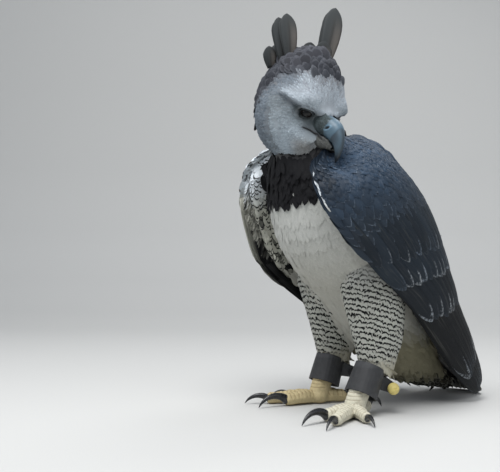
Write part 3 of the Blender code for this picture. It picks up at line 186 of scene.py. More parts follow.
class EagleColours(bpy.types.PropertyGroup):
    """Colours of the plumage and the bare parts."""

    face: colour_of("Face", "Pale bluish grey of forehead and cheek", "#a2abb3")
    ear: colour_of("Ear band", "Darker grey behind the cheek", "#666f78")
    chin: colour_of("Chin", "Warmer grey of the chin", "#8d8c89")
    crown: colour_of("Crown", "Dark grey centre of the crown feathers", "#34363c")
    crown_edge: colour_of("Crown edge", "Edge of the crown feathers", "#484a50")
    lores: colour_of("Lores", "Greenish grey skin between eye and bill", "#4d5759")
    crest: colour_of("Crest", "Dark crest feathers", "#3d4041")
    crest_edge: colour_of("Crest edge", "Margin of the crest feathers", "#55575a")
    bib: colour_of("Bib", "Brownish black of the crop", "#101013")
    breast: colour_of("Breast", "Cream white of breast and belly", "#b9bab5")
    thigh: colour_of("Thigh", "Ground of the barred thigh", "#adaea6")
    bar: colour_of("Bar", "Dark bars", "#161618")
    wing: colour_of("Wing", "Slate black of the wing", "#1b242d")
    wing_edge: colour_of("Wing edge", "Fine edges of the wing feathers", "#65717f")
    white: colour_of("White tips", "Whitish tips and the front edge of the wing", "#c9cfd3")
    grey: colour_of("Grey", "Grey mottling of the long feathers", "#7d7d75")
    # painted sheen: a bluer slate that stands for light on the top of the wing
    wing_top: colour_of("Wing top", "Bluer slate of the shoulder of the wing", "#22364a")
    # painted shade: the warm grey is darkened for the shade under the tail
    under: colour_of("Under tail", "Shaded warm grey under the tail", "#77735f")
    back: colour_of("Back", "Black of the shoulder feathers", "#0b0c0e")
    foot_left: colour_of("Left foot", "Cream yellow scales", "#c9c5b2")
    foot_right: colour_of("Right foot", "Orange brown scales", "#c2b289")
    bill: colour_of("Bill", "Slate horn", "#333d45")
    bill_tip: colour_of("Bill tip", "Darkest part of the bill", "#171b1f")
    cere: colour_of("Cere", "Blue grey skin at the root of the bill", "#4a606e")
    claw: colour_of("Claw", "Black horn", "#17181b")
    iris: colour_of("Iris", "Dark iris", "#1c1612")
    leather: colour_of("Leather", "Charcoal leather of the anklets", "#2b2c2e")
    button: colour_of("Button", "Yellow hide of the button", "#cbbb72")
    floor: colour_of("Floor", "Plain pale floor", "#c4c4c2")


# ---------------------------------------------------------------- forms

def sizes():
    return bpy.context.scene.eagle_sizes


def colours(name):
    return np.array(getattr(bpy.context.scene.eagle_colours, name)[:3])


def unit(way):
    return way / np.maximum(np.linalg.norm(way, axis=-1, keepdims=True), 1e-12)


def dot(a, b):
    return (a * b).sum(-1, keepdims=True)


def ease(low, high, value):
    """A smooth step from 0 to 1."""
    t = np.clip((np.asarray(value, float) - low) / (high - low), 0, 1)
    return t * t * (3 - 2 * t)


def blend(a, b, share):
    share = np.asarray(share, float)[..., None]
    return a * (1 - share) + b * share


def place(side, ahead, up):
    side, ahead, up = np.broadcast_arrays(side, ahead, up)
    return np.stack((side - BOX_MIDDLE[0], BOX_MIDDLE[1] - ahead, up), -1).astype(float)


def heading(side, ahead, up):
    return unit(np.array((side, -ahead, up), float))


def flow(rows, along):
    """The numbers of rows at places along, on a smooth curve through them."""
    table = np.array(rows, float)
    at, values = table[:, 0], table[:, 1:]
    slopes = np.gradient(values, at, axis=0)
    along = np.asarray(along, float)
    i = np.clip(np.searchsorted(at, along) - 1, 0, len(at) - 2)
    span = (at[i + 1] - at[i])[..., None]
    t = (along - at[i])[..., None] / span
    before = (2 * t**3 - 3 * t**2 + 1) * values[i] + (t**3 - 2 * t**2 + t) * span * slopes[i]
    return before + (-2 * t**3 + 3 * t**2) * values[i + 1] + (t**3 - t**2) * span * slopes[i + 1]


def turned(vector, axis, angle):
    """Vectors turned round axes by angles in radians."""
    c, s = np.cos(angle)[..., None], np.sin(angle)[..., None]
    return vector * c + np.cross(axis, vector) * s + axis * dot(axis, vector) * (1 - c)


def head_axes():
    """The way the face points, the head's left and its crown."""
    turn, nod = math.radians(HEAD_TURN), math.radians(HEAD_NOD)
    level, high = heading(math.sin(turn), math.cos(turn), 0), np.array((0, 0, 1.0))
    face = level * math.cos(nod) - high * math.sin(nod)
    left = turned(np.cross(high, level), face, np.array(-math.radians(HEAD_TILT)))
    return face, left, np.cross(face, left)


FACE, LEFT, CROWN = head_axes()
HEAD_MIDDLE = place(*HEAD_AT)


def on_head(spots):
    """Points of the head from forward, right and up."""
    spots = np.asarray(spots, float)
    return HEAD_MIDDLE + spots[..., :1] * FACE - spots[..., 1:2] * LEFT + spots[..., 2:3] * CROWN


def in_head(points):
    """Forward, right and up of points."""
    away = points - HEAD_MIDDLE
    return np.stack((away @ FACE, -(away @ LEFT), away @ CROWN), -1)


def head_reach(ways):
    """How far the head's surface is from its middle, along directions in the head."""
    ways = unit(np.asarray(ways, float))
    front = np.where(ways[..., 0] > 0, HEAD_FRONT, HEAD_BACK)
    tall = np.where(ways[..., 2] > 0, HEAD_UP, HEAD_DOWN)
    reach = 1 / np.sqrt((ways[..., 0] / front) ** 2 + (ways[..., 1] / HEAD_SIDE) ** 2 + (ways[..., 2] / tall) ** 2)
    for f, s, u, spread, height in FACE_FORMS:
        for sign in (1, -1):
            angle = np.degrees(np.arccos(np.clip(ways @ unit(np.array((f, s * sign, u))), -1, 1)))
            reach = reach + height * np.exp(-((angle / spread) ** 2))
    return reach


def by_line(local, line, spread):
    """How near directions in the head are to a line over it, on either side: 1 on it, 0 far away."""
    ways, spots = unit(np.asarray(local, float)), np.array(line)
    at = np.linspace(0, len(line) - 1, 24)
    dense = np.stack([np.interp(at, range(len(line)), spots[:, k]) for k in range(3)], 1)
    most = np.maximum(*((ways @ unit(dense * (1, sign, 1)).T).max(-1) for sign in (1, -1)))
    return np.exp(-((np.degrees(np.arccos(np.clip(most, -1, 1))) / spread) ** 2))


def face_reach(ways):
    """The head's surface with the fine forms of the skin."""
    return head_reach(ways) + sum(height * by_line(ways, line, spread) for line, spread, height in FACE_LINES)


def on_face(spots, lift=0.0):
    """Points of the skin of the head, over directions in the head."""
    ways = unit(np.asarray(spots, float))
    return on_head(ways * (face_reach(ways) + lift)[..., None])


def eye_axes(sign):
    """The middle of an eye, the way it looks, and the long and short way of its opening."""
    f, s, u = EYE_AT
    middle = on_head((f, s * sign, u))
    outward = unit(-LEFT * sign * 0.80 + FACE * 0.60 - CROWN * 0.20)
    along = unit(FACE - outward * (FACE @ outward))
    slant = math.radians(LID_SLANT)
    long_way = along * math.cos(slant) - CROWN * math.sin(slant)
    long_way = unit(long_way - outward * (long_way @ outward))
    return middle, outward, long_way, np.cross(outward, long_way)


def wing_point(sign, along, across, lift=0.0):
    """Points over a folded wing: across runs from its leading to its trailing edge."""
    rows = WING_ROWS[sign]
    along, across = np.broadcast_arrays(np.asarray(along, float), np.asarray(across, float))
    values = flow(rows, along)
    lead, trail, swell = values[..., :3], values[..., 3:6], values[..., 6:7]
    chord = trail - lead
    run = flow(rows, np.minimum(1.02, along + 0.02))[..., :6] - flow(rows, np.maximum(0, along - 0.02))[..., :6]
    run = (run[..., :3] + run[..., 3:6]) / 2
    outward = unit(np.cross(run, chord))
    outward = outward * np.where(outward[..., :1] < 0, -1, 1)
    arc = np.sin(np.pi * np.clip(across, 0, 1))[..., None] ** 0.85
    spot = lead + chord * across[..., None] + outward * (swell * arc + np.asarray(lift)[..., None])
    spot = place(spot[..., 0] * sign, spot[..., 1], spot[..., 2])
    far = np.linalg.norm(spot - np.array(PRESS_AT), axis=-1, keepdims=True)
    return spot + np.array(PRESS_WAY) * PRESS_DEPTH * np.exp(-((far / PRESS_RADIUS) ** 2))


def wing_frame(sign, along, across):
    """Points over a wing with the outward normals."""
    step = 0.012
    point = wing_point(sign, along, across)
    run = wing_point(sign, along + step, across) - wing_point(sign, along - step, across)
    over = wing_point(sign, along, across + step) - wing_point(sign, along, across - step)
    normal = unit(np.cross(run, over))
    return point, unit(run), normal * np.where(normal[..., :1] * sign < 0, -1, 1)


def leg_point(sign, up):
    """A point on the middle line of the tarsus."""
    leg = LEGS[sign]
    share = (HEEL_UP - np.asarray(up, float)) / (HEEL_UP - ANKLE_UP)
    heel, ankle = leg["heel"], leg["ankle"]
    return place((heel[0] + (ankle[0] - heel[0]) * share) * sign, heel[1] + (ankle[1] - heel[1]) * share, up)


def toe_way(sign, turn):
    angle = math.radians(LEGS[sign]["splay"] + turn)
    return heading(math.sin(angle) * sign, math.cos(angle), 0)


def tube_rings(points, sizes_at, outward, sides, power=2.0):
    """Ovals along points. A size is half width, half out and half in."""
    tangents = unit(np.gradient(points, axis=0))
    out = unit(outward - tangents * dot(tangents, outward))
    across = np.cross(tangents, out)
    angle = 2 * np.pi * np.arange(sides) / sides
    c, s = np.cos(angle), np.sin(angle)
    c, s = np.sign(c) * np.abs(c) ** (2 / power), np.sign(s) * np.abs(s) ** (2 / power)
    reach = np.where(c > 0, sizes_at[:, 1:2], sizes_at[:, 2:3]) * c
    wide = sizes_at[:, :1] * s
    return points[:, None] + across[:, None] * wide[..., None] + out[:, None] * reach[..., None]


# ---------------------------------------------------------------- making objects

def add_object(name, mesh):
    obj = bpy.data.objects.new(name, mesh)
    bpy.context.scene.collection.objects.link(obj)
    return obj


def only(*objs):
    """Select these objects alone."""
    if bpy.context.mode != "OBJECT":
        bpy.ops.object.mode_set(mode="OBJECT")
    bpy.ops.object.select_all(action="DESELECT")
    for obj in objs:
        obj.select_set(True)
    bpy.context.view_layer.objects.active = objs[0]


def mesh_of(name, points, faces):
    """A smooth mesh from arrays of points and of faces with as many corners each."""
    mesh = bpy.data.meshes.new(name)
    mesh.vertices.add(len(points))
    mesh.vertices.foreach_set("co", np.asarray(points, np.float32).ravel())
    mesh.loops.add(faces.size)
    mesh.loops.foreach_set("vertex_index", faces.astype(np.int32).ravel())
    mesh.polygons.add(len(faces))
    mesh.polygons.foreach_set("loop_start", np.arange(0, faces.size, faces.shape[1], dtype=np.int32))
    mesh.polygons.foreach_set("use_smooth", np.ones(len(faces), bool))
    mesh.update(calc_edges=True)
    return mesh


def rings_object(name, rings):
    """A closed tube from rings of points, its normals made to point outwards."""
    count, sides = rings.shape[:2]
    form = bmesh.new()
    rows = [[form.verts.new(p) for p in ring] for ring in rings]
    for a, b in zip(rows, rows[1:]):
        for i in range(sides):
            j = (i + 1) % sides
            form.faces.new((a[i], a[j], b[j], b[i]))
    for row in (rows[0], rows[-1]):
        middle = form.verts.new(sum((v.co for v in row), Vector()) / sides)
        for i in range(sides):
            form.faces.new((row[i], row[(i + 1) % sides], middle))
    bmesh.ops.recalc_face_normals(form, faces=form.faces)
    for face in form.faces:
        face.smooth = True
    mesh = bpy.data.meshes.new(name)
    form.to_mesh(mesh)
    form.free()
    return add_object(name, mesh)


def copy_of(node, name):
    """A copy of a solid's mesh with its loose triangles merged."""
    obj = add_object(name, bpy.data.objects[node].data.copy())
    obj.data.materials.clear()
    form = bmesh.new()
    form.from_mesh(obj.data)
    bmesh.ops.remove_doubles(form, verts=form.verts, dist=0.00001)
    form.to_mesh(obj.data)
    form.free()
    return obj


def modify(obj, kind, **settings):
    """Put a modifier on an object and apply it."""
    only(obj)
    modifier = obj.modifiers.new(kind.lower(), kind)
    for key, value in settings.items():
        setattr(modifier, key, value)
    bpy.ops.object.modifier_apply(modifier=modifier.name)


def fuse(objs, name, voxel, rounds):
    """Join objects, fuse them in cells of one size and smooth the result."""
    only(*objs)
    if len(objs) > 1:
        bpy.ops.object.join()
    obj = bpy.context.view_layer.objects.active
    obj.name = obj.data.name = name
    obj.data.remesh_voxel_size = voxel
    obj.data.use_remesh_fix_poles = False
    bpy.ops.object.voxel_remesh()
    modify(obj, "SMOOTH", factor=0.5, iterations=rounds)
    obj.data.polygons.foreach_set("use_smooth", np.ones(len(obj.data.polygons), bool))
    return obj


def points_of(mesh, what="co"):
    values = np.empty(len(mesh.vertices) * 3, np.float32)
    if what == "co":
        mesh.vertices.foreach_get("co", values)
    else:
        mesh.vertex_normals.foreach_get("vector", values)
    return values.reshape(-1, 3).astype(float)


def set_points(mesh, points):
    mesh.vertices.foreach_set("co", np.asarray(points, np.float32).ravel())
    mesh.update()


def paint(mesh, name, rgb, alpha):
    """Store a colour for each point."""
    layer = mesh.color_attributes.new(name, "FLOAT_COLOR", "POINT")
    rgba = np.empty((len(mesh.vertices), 4), np.float32)
    rgba[:, :3], rgba[:, 3] = rgb, alpha
    layer.data.foreach_set("color", rgba.ravel())


def lay_uv(mesh, name, uv):
    """Store a map from one pair of numbers for each point."""
    layer = mesh.uv_layers.new(name=name)
    corners = np.empty(len(mesh.loops), np.int32)
    mesh.loops.foreach_get("vertex_index", corners)
    layer.data.foreach_set("uv", np.asarray(uv, np.float32)[corners].ravel())


def ready(obj, material, slot, *nodes):
    """Give a finished piece its material and its body, and hide the solids that it stands for; the slot is not used."""
    obj.data.materials.clear()
    obj.data.materials.append(material)
    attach(obj, "root")
    if nodes:
        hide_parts(*nodes)
    return obj


def near(obj, points):
    """Distance of points from an object's surface."""
    tree = BVHTree.FromPolygons(
        [v.co[:] for v in obj.data.vertices], [p.vertices[:] for p in obj.data.polygons], all_triangles=False
    )
    return np.array([tree.find_nearest(p)[3] for p in points])


# ---------------------------------------------------------------- materials

def add(tree, kind, inputs=None, **settings):
    """Add a node with its settings, and fill or link its inputs."""
    made = tree.nodes.new(kind)
    for key, value in settings.items():
        setattr(made, key, value)
    for key, value in (inputs or {}).items():
        if isinstance(value, bpy.types.NodeSocket):
            tree.links.new(value, made.inputs[key])
        else:
            made.inputs[key].default_value = value
    return made


def new_material(name, **surface):
    """A material with its shader, whose constants are set on its own sockets."""
    material = bpy.data.materials.new(name)
    material.use_nodes = True
    tree = material.node_tree
    tree.nodes.clear()
    shader = add(tree, "ShaderNodeBsdfPrincipled")
    for key, value in surface.items():
        shader.inputs[key.replace("_", " ")].default_value = value
    output = add(tree, "ShaderNodeOutputMaterial", {"Surface": shader.outputs[0]})
    output.location = (400, 0)
    return material, tree, shader


def plumage(name, tip=0.80, edge=0.80, grain=900.0, streak=26.0, barbs=0.35, bands=None, rows=None, vary=0.26, broken=0.0,
            sheen_and_wear_streaks=0.0, **surface):
    """Contour feathers: keratin barbs that hook into a matt vane, paler or darker at the worn edge.

    The ground and the edge colour come with each feather. Barbs run out from the shaft about every
    millimetre, drawn some three times as coarse as real ones so that they show.
    """
    settings = dict(Roughness=0.78, Specular_IOR_Level=0.2)
    settings.update(surface)
    material, tree, shader = new_material(name, **settings)
    ground = add(tree, "ShaderNodeAttribute", attribute_name="Markings")
    rim = add(tree, "ShaderNodeAttribute", attribute_name="Fringe")
    uv = add(tree, "ShaderNodeUVMap", uv_map="Barbs")
    parts = add(tree, "ShaderNodeSeparateXYZ", {0: uv.outputs[0]})
    along = parts.outputs[1]
    centred = add(tree, "ShaderNodeMath", {0: parts.outputs[0], 1: 0.5}, operation="SUBTRACT")
    off = add(tree, "ShaderNodeMath", {0: centred.outputs[0]}, operation="ABSOLUTE")
    away = add(tree, "ShaderNodeMath", {0: off.outputs[0], 1: 2.0}, operation="MULTIPLY")
    place_at = add(tree, "ShaderNodeTexCoord")
    speck = add(tree, "ShaderNodeTexNoise", {"Vector": place_at.outputs["Object"], "Scale": grain, "Detail": 2.0})
    cloud = add(tree, "ShaderNodeTexNoise", {"Vector": place_at.outputs["Object"], "Scale": 45.0, "Detail": 3.0})
    # barbs: lines that leave the shaft at an angle
    slanted = add(tree, "ShaderNodeMath", {0: away.outputs[0], 1: -0.35, 2: along}, operation="MULTIPLY_ADD")
    lines = add(tree, "ShaderNodeMath", {0: slanted.outputs[0], 1: streak * 6.2832}, operation="MULTIPLY")
    wave = add(tree, "ShaderNodeMath", {0: lines.outputs[0]}, operation="SINE")
    # the worn rim at the tip and down both edges
    jitter = add(tree, "ShaderNodeMath", {0: speck.outputs[0], 1: 0.16, 2: -0.08}, operation="MULTIPLY_ADD")
    tip_at = add(tree, "ShaderNodeMath", {0: along, 1: jitter.outputs[0]}, operation="ADD")
    bow = add(tree, "ShaderNodeMath", {0: away.outputs[0], 1: 2.0}, operation="POWER")
    bowed = add(tree, "ShaderNodeMath", {0: bow.outputs[0], 1: 0.12, 2: tip_at.outputs[0]}, operation="MULTIPLY_ADD")
    at_tip = add(tree, "ShaderNodeMapRange", {0: bowed.outputs[0], 1: tip, 2: min(tip + 0.10, 1.0)},
                 interpolation_type="SMOOTHSTEP")
    at_edge = add(tree, "ShaderNodeMapRange", {0: away.outputs[0], 1: edge, 2: min(edge + 0.16, 1.2)},
                  interpolation_type="SMOOTHSTEP")
    either = add(tree, "ShaderNodeMath", {0: at_tip.outputs[0], 1: at_edge.outputs[0]}, operation="MAXIMUM")
    if broken:
        # the pale rim is worn away in spots a few millimetres wide
        spots = add(tree, "ShaderNodeTexNoise", {"Vector": place_at.outputs["Object"], "Scale": 240.0, "Detail": 2.0})
        kept = add(tree, "ShaderNodeMapRange", {0: spots.outputs[0], 1: 0.40, 2: 0.58, 3: 1 - broken, 4: 1.0},
                   interpolation_type="SMOOTHSTEP")
        either = add(tree, "ShaderNodeMath", {0: either.outputs[0], 1: kept.outputs[0]}, operation="MULTIPLY")
    colour = add(tree, "ShaderNodeMix", {0: either.outputs[0], 6: ground.outputs["Color"], 7: rim.outputs["Color"]},
                 data_type="RGBA").outputs[2]
    # a dark bar short of the tip, as strong as the feather says
    dark = (*colours("bar"), 1)
    bar_low = add(tree, "ShaderNodeMapRange", {0: bowed.outputs[0], 1: 0.62, 2: 0.68}, interpolation_type="SMOOTHSTEP")
    bar_high = add(tree, "ShaderNodeMapRange", {0: bowed.outputs[0], 1: 0.80, 2: 0.86, 3: 1.0, 4: 0.0},
                   interpolation_type="SMOOTHSTEP")
    bar = add(tree, "ShaderNodeMath", {0: bar_low.outputs[0], 1: bar_high.outputs[0]}, operation="MULTIPLY")
    if rows:
        # or wavy bars across the whole coat, bowed over each feather and broken here and there
        where = add(tree, "ShaderNodeSeparateXYZ", {0: place_at.outputs["Object"]})
        tilt = add(tree, "ShaderNodeMath", {0: where.outputs[1], 1: 0.30, 2: where.outputs[2]}, operation="MULTIPLY_ADD")
        level = add(tree, "ShaderNodeMath", {0: tilt.outputs[0], 1: 1 / rows}, operation="MULTIPLY")
        bowing = add(tree, "ShaderNodeMath", {0: bow.outputs[0], 1: 0.40, 2: level.outputs[0]}, operation="MULTIPLY_ADD")
        own = add(tree, "ShaderNodeMath", {0: ground.outputs["Alpha"], 1: 0.30, 2: bowing.outputs[0]}, operation="MULTIPLY_ADD")
        shaken = add(tree, "ShaderNodeMath", {0: cloud.outputs[0], 1: 1.3, 2: own.outputs[0]}, operation="MULTIPLY_ADD")
        turn = add(tree, "ShaderNodeMath", {0: shaken.outputs[0], 1: 6.2832}, operation="MULTIPLY")
        swing = add(tree, "ShaderNodeMath", {0: turn.outputs[0]}, operation="SINE")
        gaps = add(tree, "ShaderNodeTexNoise", {"Vector": place_at.outputs["Object"], "Scale": 130.0, "Detail": 1.0})
        worn = add(tree, "ShaderNodeMath", {0: gaps.outputs[0], 1: -1.5, 2: swing.outputs[0]}, operation="MULTIPLY_ADD")
        bar = add(tree, "ShaderNodeMapRange", {0: worn.outputs[0], 1: -0.54, 2: -0.24}, interpolation_type="SMOOTHSTEP")
    barred = add(tree, "ShaderNodeMath", {0: bar.outputs[0], 1: rim.outputs["Alpha"]}, operation="MULTIPLY")
    colour = add(tree, "ShaderNodeMix", {0: barred.outputs[0], 6: colour, 7: dark}, data_type="RGBA").outputs[2]
    if bands:
        count, strength = bands
        turn = add(tree, "ShaderNodeMath", {0: along, 1: count * 6.2832}, operation="MULTIPLY")
        band = add(tree, "ShaderNodeMath", {0: turn.outputs[0]}, operation="SINE")
        rough = add(tree, "ShaderNodeMath", {0: cloud.outputs[0], 1: 0.9, 2: band.outputs[0]}, operation="MULTIPLY_ADD")
        across = add(tree, "ShaderNodeMapRange", {0: rough.outputs[0], 1: 0.55, 2: 0.85, 3: 0.0, 4: strength},
                     interpolation_type="SMOOTHSTEP")
        colour = add(tree, "ShaderNodeMix", {0: across.outputs[0], 6: colour, 7: rim.outputs["Color"]},
                     data_type="RGBA").outputs[2]
    if sheen_and_wear_streaks:
        # grey streaks that run along the vane, partly wear and partly painted sheen
        stretched = add(tree, "ShaderNodeVectorMath", {0: uv.outputs[0], 1: (9.0, 2.6, 1.0)}, operation="MULTIPLY")
        shifted = add(tree, "ShaderNodeCombineXYZ", {0: 0.0, 1: 0.0, 2: ground.outputs["Alpha"]})
        spread = add(tree, "ShaderNodeVectorMath", {0: shifted.outputs[0], 1: (0.0, 0.0, 37.0), 2: stretched.outputs[0]},
                     operation="MULTIPLY_ADD")
        worn = add(tree, "ShaderNodeTexNoise", {"Vector": spread.outputs[0], "Scale": 1.0, "Detail": 5.0, "Roughness": 0.7})
        share = add(tree, "ShaderNodeMapRange", {0: worn.outputs[0], 1: 0.52, 2: 0.74, 3: 0.0, 4: sheen_and_wear_streaks},
                    interpolation_type="SMOOTHSTEP")
        colour = add(tree, "ShaderNodeMix", {0: share.outputs[0], 6: colour, 7: (*colours("grey"), 1)},
                     data_type="RGBA").outputs[2]
    # every feather differs a little in tone, and barbs darken the gaps between them
    tone = add(tree, "ShaderNodeMath", {0: ground.outputs["Alpha"], 1: vary, 2: 1 - vary / 2}, operation="MULTIPLY_ADD")
    barbed = add(tree, "ShaderNodeMath", {0: wave.outputs[0], 1: 0.05, 2: tone.outputs[0]}, operation="MULTIPLY_ADD")
    specked = add(tree, "ShaderNodeMath", {0: speck.outputs[0], 1: 0.22, 2: barbed.outputs[0]}, operation="MULTIPLY_ADD")
    value = add(tree, "ShaderNodeMath", {0: specked.outputs[0], 1: -0.11}, operation="ADD")
    toned = add(tree, "ShaderNodeHueSaturation", {"Value": value.outputs[0], "Color": colour})
    tree.links.new(toned.outputs[0], shader.inputs["Base Color"])
    height = add(tree, "ShaderNodeMath", {0: speck.outputs[0], 1: 0.8, 2: wave.outputs[0]}, operation="MULTIPLY_ADD")
    bump = add(tree, "ShaderNodeBump", {"Strength": barbs, "Distance": 0.0004, "Height": height.outputs[0]})
    tree.links.new(bump.outputs[0], shader.inputs["Normal"])
    return material


def painted(name, noises, rough_from=None, **surface):
    """A surface whose ground comes with its points, mottled and dented by noises of real sizes.

    Each noise is the size of its grain in metres, how much it changes the tone, and how deep it dents.
    """
    material, tree, shader = new_material(name, **surface)
    ground = add(tree, "ShaderNodeAttribute", attribute_name="Markings")
    place_at = add(tree, "ShaderNodeTexCoord").outputs["Object"]
    value, height = None, None
    for grain, tone, depth in noises:
        noise = add(tree, "ShaderNodeTexNoise", {"Vector": place_at, "Scale": 1 / grain, "Detail": 3.0}).outputs[0]
        before = 1.0 - tone / 2 if value is None else value
        if value is not None:
            before = add(tree, "ShaderNodeMath", {0: value, 1: -tone / 2}, operation="ADD").outputs[0]
        value = add(tree, "ShaderNodeMath", {0: noise, 1: tone, 2: before}, operation="MULTIPLY_ADD").outputs[0]
        if depth:
            rise = height if height is not None else 0.0
            height = add(tree, "ShaderNodeMath", {0: noise, 1: depth, 2: rise}, operation="MULTIPLY_ADD").outputs[0]
    toned = add(tree, "ShaderNodeHueSaturation", {"Value": value, "Color": ground.outputs["Color"]})
    tree.links.new(toned.outputs[0], shader.inputs["Base Color"])
    if rough_from:
        low, high = rough_from
        spread = add(tree, "ShaderNodeMapRange", {0: value, 1: 0.8, 2: 1.2, 3: high, 4: low})
        tree.links.new(spread.outputs[0], shader.inputs["Roughness"])
    if height is not None:
        bump = add(tree, "ShaderNodeBump", {"Strength": 1.0, "Distance": 1.0, "Height": height})
        tree.links.new(bump.outputs[0], shader.inputs["Normal"])
    return material


# ---------------------------------------------------------------- markings

def crown_share(local):
    """1 on the dark crown and nape, 0 on the pale face."""
    f, r, u = local[..., 0], np.abs(local[..., 1]), local[..., 2]
    g = f + 0.845 * r - 0.466 * u + 0.018 * np.exp(-((r / 0.014) ** 2)) + 0.003 * np.sin(r * 330 + u * 200)
    return 1 - ease(0.032, 0.045, g), g


def bib_edge(points):
    """How far points are above the lower edge of the dark bib."""
    x, y, z = points[..., 0], points[..., 1], points[..., 2]
    ragged = 0.006 * np.sin(x * 190 + 2 * np.sin(z * 140)) + 0.004 * np.sin(x * 410 + y * 300)
    return z - (0.396 + 0.25 * np.maximum(x - 0.01, 0)) + ragged


def head_markings(local):
    """Ground and rim colours over the head, from forward, right and up."""
    f, r, u = local[..., 0], np.abs(local[..., 1]), local[..., 2]
    dark, g = crown_share(local)
    ground = np.broadcast_to(colours("face"), local.shape).copy()
    # soft darker flecks over the forehead, a duller cheek, and a paler brow ridge that is painted highlight
    fleck = np.sin(f * 520 + 3 * np.sin(u * 300)) * np.sin(local[..., 1] * 430 + 2 * np.sin(f * 260))
    fleck = (ease(-0.1, 0.8, fleck) * ease(0.01, 0.05, u))[..., None]
    ground *= 1 - fleck * (0.30, 0.34, 0.34)
    cheek = ease(0.032, 0.010, u) * ease(0.012, 0.030, r)
    ground = blend(ground, colours("face") * (0.62, 0.64, 0.63), cheek)
    ground *= 1 - 0.26 * (np.exp(-(((u - 0.002) / 0.014) ** 2)) * ease(0.030, 0.055, r))[..., None]
    ground = blend(ground, colours("face") * 1.10, 0.8 * by_line(local, BROW, 4.0))
    ruff = 1 - ease(-0.008, 0.010, f - (0.004 - 0.30 * u) + 0.003 * np.sin(u * 420))
    band = np.maximum((1 - ease(0.055, 0.085, g)) * ease(0.045, 0.066, r), ruff)
    wave = 0.5 + 0.5 * np.sin(u * 900 + 3 * np.sin(f * 300))
    ground = blend(ground, colours("ear") * (0.78 + 0.3 * wave)[..., None], 0.92 * band)
    jowl = np.exp(-((np.degrees(np.arccos(np.clip(unit(local * (1, 0, 1) + np.stack((0 * r, r, 0 * r), -1))
                                                   @ unit(np.array((0.045, 0.052, -0.062))), -1, 1))) / 24) ** 2))
    ground = blend(ground, colours("face") * (1.02, 1.06, 1.08), 0.8 * jowl * (1 - ruff))
    chin = ease(-0.036, -0.055, u) * ease(0.055, 0.080, f)
    ground = blend(ground, colours("chin"), 0.8 * chin)
    # a dark line along the fold at the jowl's edge: painted shade in the fold
    ground = blend(ground, colours("ear") * 0.62, 0.6 * by_line(local, JOWL_EDGE, 3.0))
    # a darker stripe behind the eye: painted shadow under the brow ridge
    ground = blend(ground, colours("ear") * 0.72, 0.85 * by_line(local, BEHIND_EYE_SHADOW, 4.2))
    ground = blend(ground, colours("ear") * 0.70, 0.8 * by_line(local, GAPE, 3.2))
    near_crown = 1 - ease(0.044, 0.062, g)
    ground = blend(ground, colours("crown_edge") * (1.15, 1.08, 1.0), 0.6 * near_crown)
    rim = ground * 1.16
    ground = blend(ground, colours("crown"), dark)
    rim = blend(rim, colours("crown_edge"), dark)
    # the lores are their own greenish grey; the strip along the crease under the brow ridge takes the same dark tone as
    # painted shadow
    lore = np.maximum(by_line(local, LORES, 9.0), by_line(local, UNDER_BROW[1:], 4.2))
    ground, rim = blend(ground, colours("lores"), 0.95 * lore), blend(rim, colours("lores") * 1.2, 0.9 * lore)
    return ground, rim


def body_markings(points, kind):
    """Ground and rim colours and bar strength of the body, by the kind of its coat."""
    shape = points.shape
    bars = np.zeros(shape[:-1])
    if kind == "bib":
        share = ease(0.0, 0.002, bib_edge(points))
        ground = blend(np.broadcast_to(colours("breast"), shape), colours("bib"), share)
        return ground, ground * 1.35, bars
    if kind == "back":
        ground = np.broadcast_to(colours("back"), shape).copy()
        return ground, np.broadcast_to(colours("wing_edge"), shape) * 0.7, bars
    if kind == "thigh":
        z, y = points[..., 2], points[..., 1]
        ground = blend(colours("thigh") + 0 * points, colours("breast") * 0.92, ease(0.235, 0.285, z))
        low = ease(0.125, 0.100, z)
        ground = blend(ground, colours("thigh") * (0.95, 0.86, 0.70), 0.6 * low)
        bars = ease(0.302, 0.250, z) * ease(0.098, 0.120, z + 0.35 * (y - 0.02) * (y > 0.02))
        behind = ease(0.000, 0.05, y - 0.02)
        bars = bars * (1 - 0.8 * behind * ease(0.20, 0.15, z))
        return ground, ground * 1.05, bars
    if kind == "rump":
        # painted shade under the tail: a darker copy of the breast grades into the shaded warm grey lower down, and the
        # lowest feathers go near black
        ground = blend(colours("breast") * 0.8 + 0 * points, colours("under"), ease(0.20, 0.12, points[..., 2]))
        low = ease(0.075, 0.045, points[..., 2])
        return blend(ground, colours("back"), 0.9 * low), blend(ground * 1.05, colours("grey") * 0.7, low), bars
    ground = np.broadcast_to(colours("breast"), shape).copy()
    # painted shade under the body: the lower breast and belly are darkened
    low = ease(0.37, 0.24, points[..., 2])
    ground *= 1 - low[..., None] * (0.20, 0.22, 0.26)
    return ground, ground * 1.08, bars


# ---------------------------------------------------------------- skin

LABELS = ("head", "neck", "torso", "rump", "thigh", "wing")


def wing_shield(sign):
    """The fleshy arm of a folded wing, a curved shield that thins towards its end."""
    along = np.linspace(0.004, 0.58, 30)[:, None]
    low = 0.012 if sign > 0 else 0.060
    across = (low + (0.988 - low) * np.arange(25) / 24)[None]
    point, _run, normal = wing_frame(sign, along + 0 * across, across + 0 * along)
    round_off = np.sin(np.pi * across) ** 0.5
    thick = 0.007 + 0.027 * (1 - ((along - 0.004) / 0.576) ** 1.5)
    outer = point - normal * (0.0065 + 0.0030 * (1 - round_off))[..., None]
    inner = point - normal * (0.0110 + thick * round_off)[..., None]
    return rings_object(f"shield_{SIDES[sign]}", np.concatenate((outer, inner[:, ::-1]), 1))


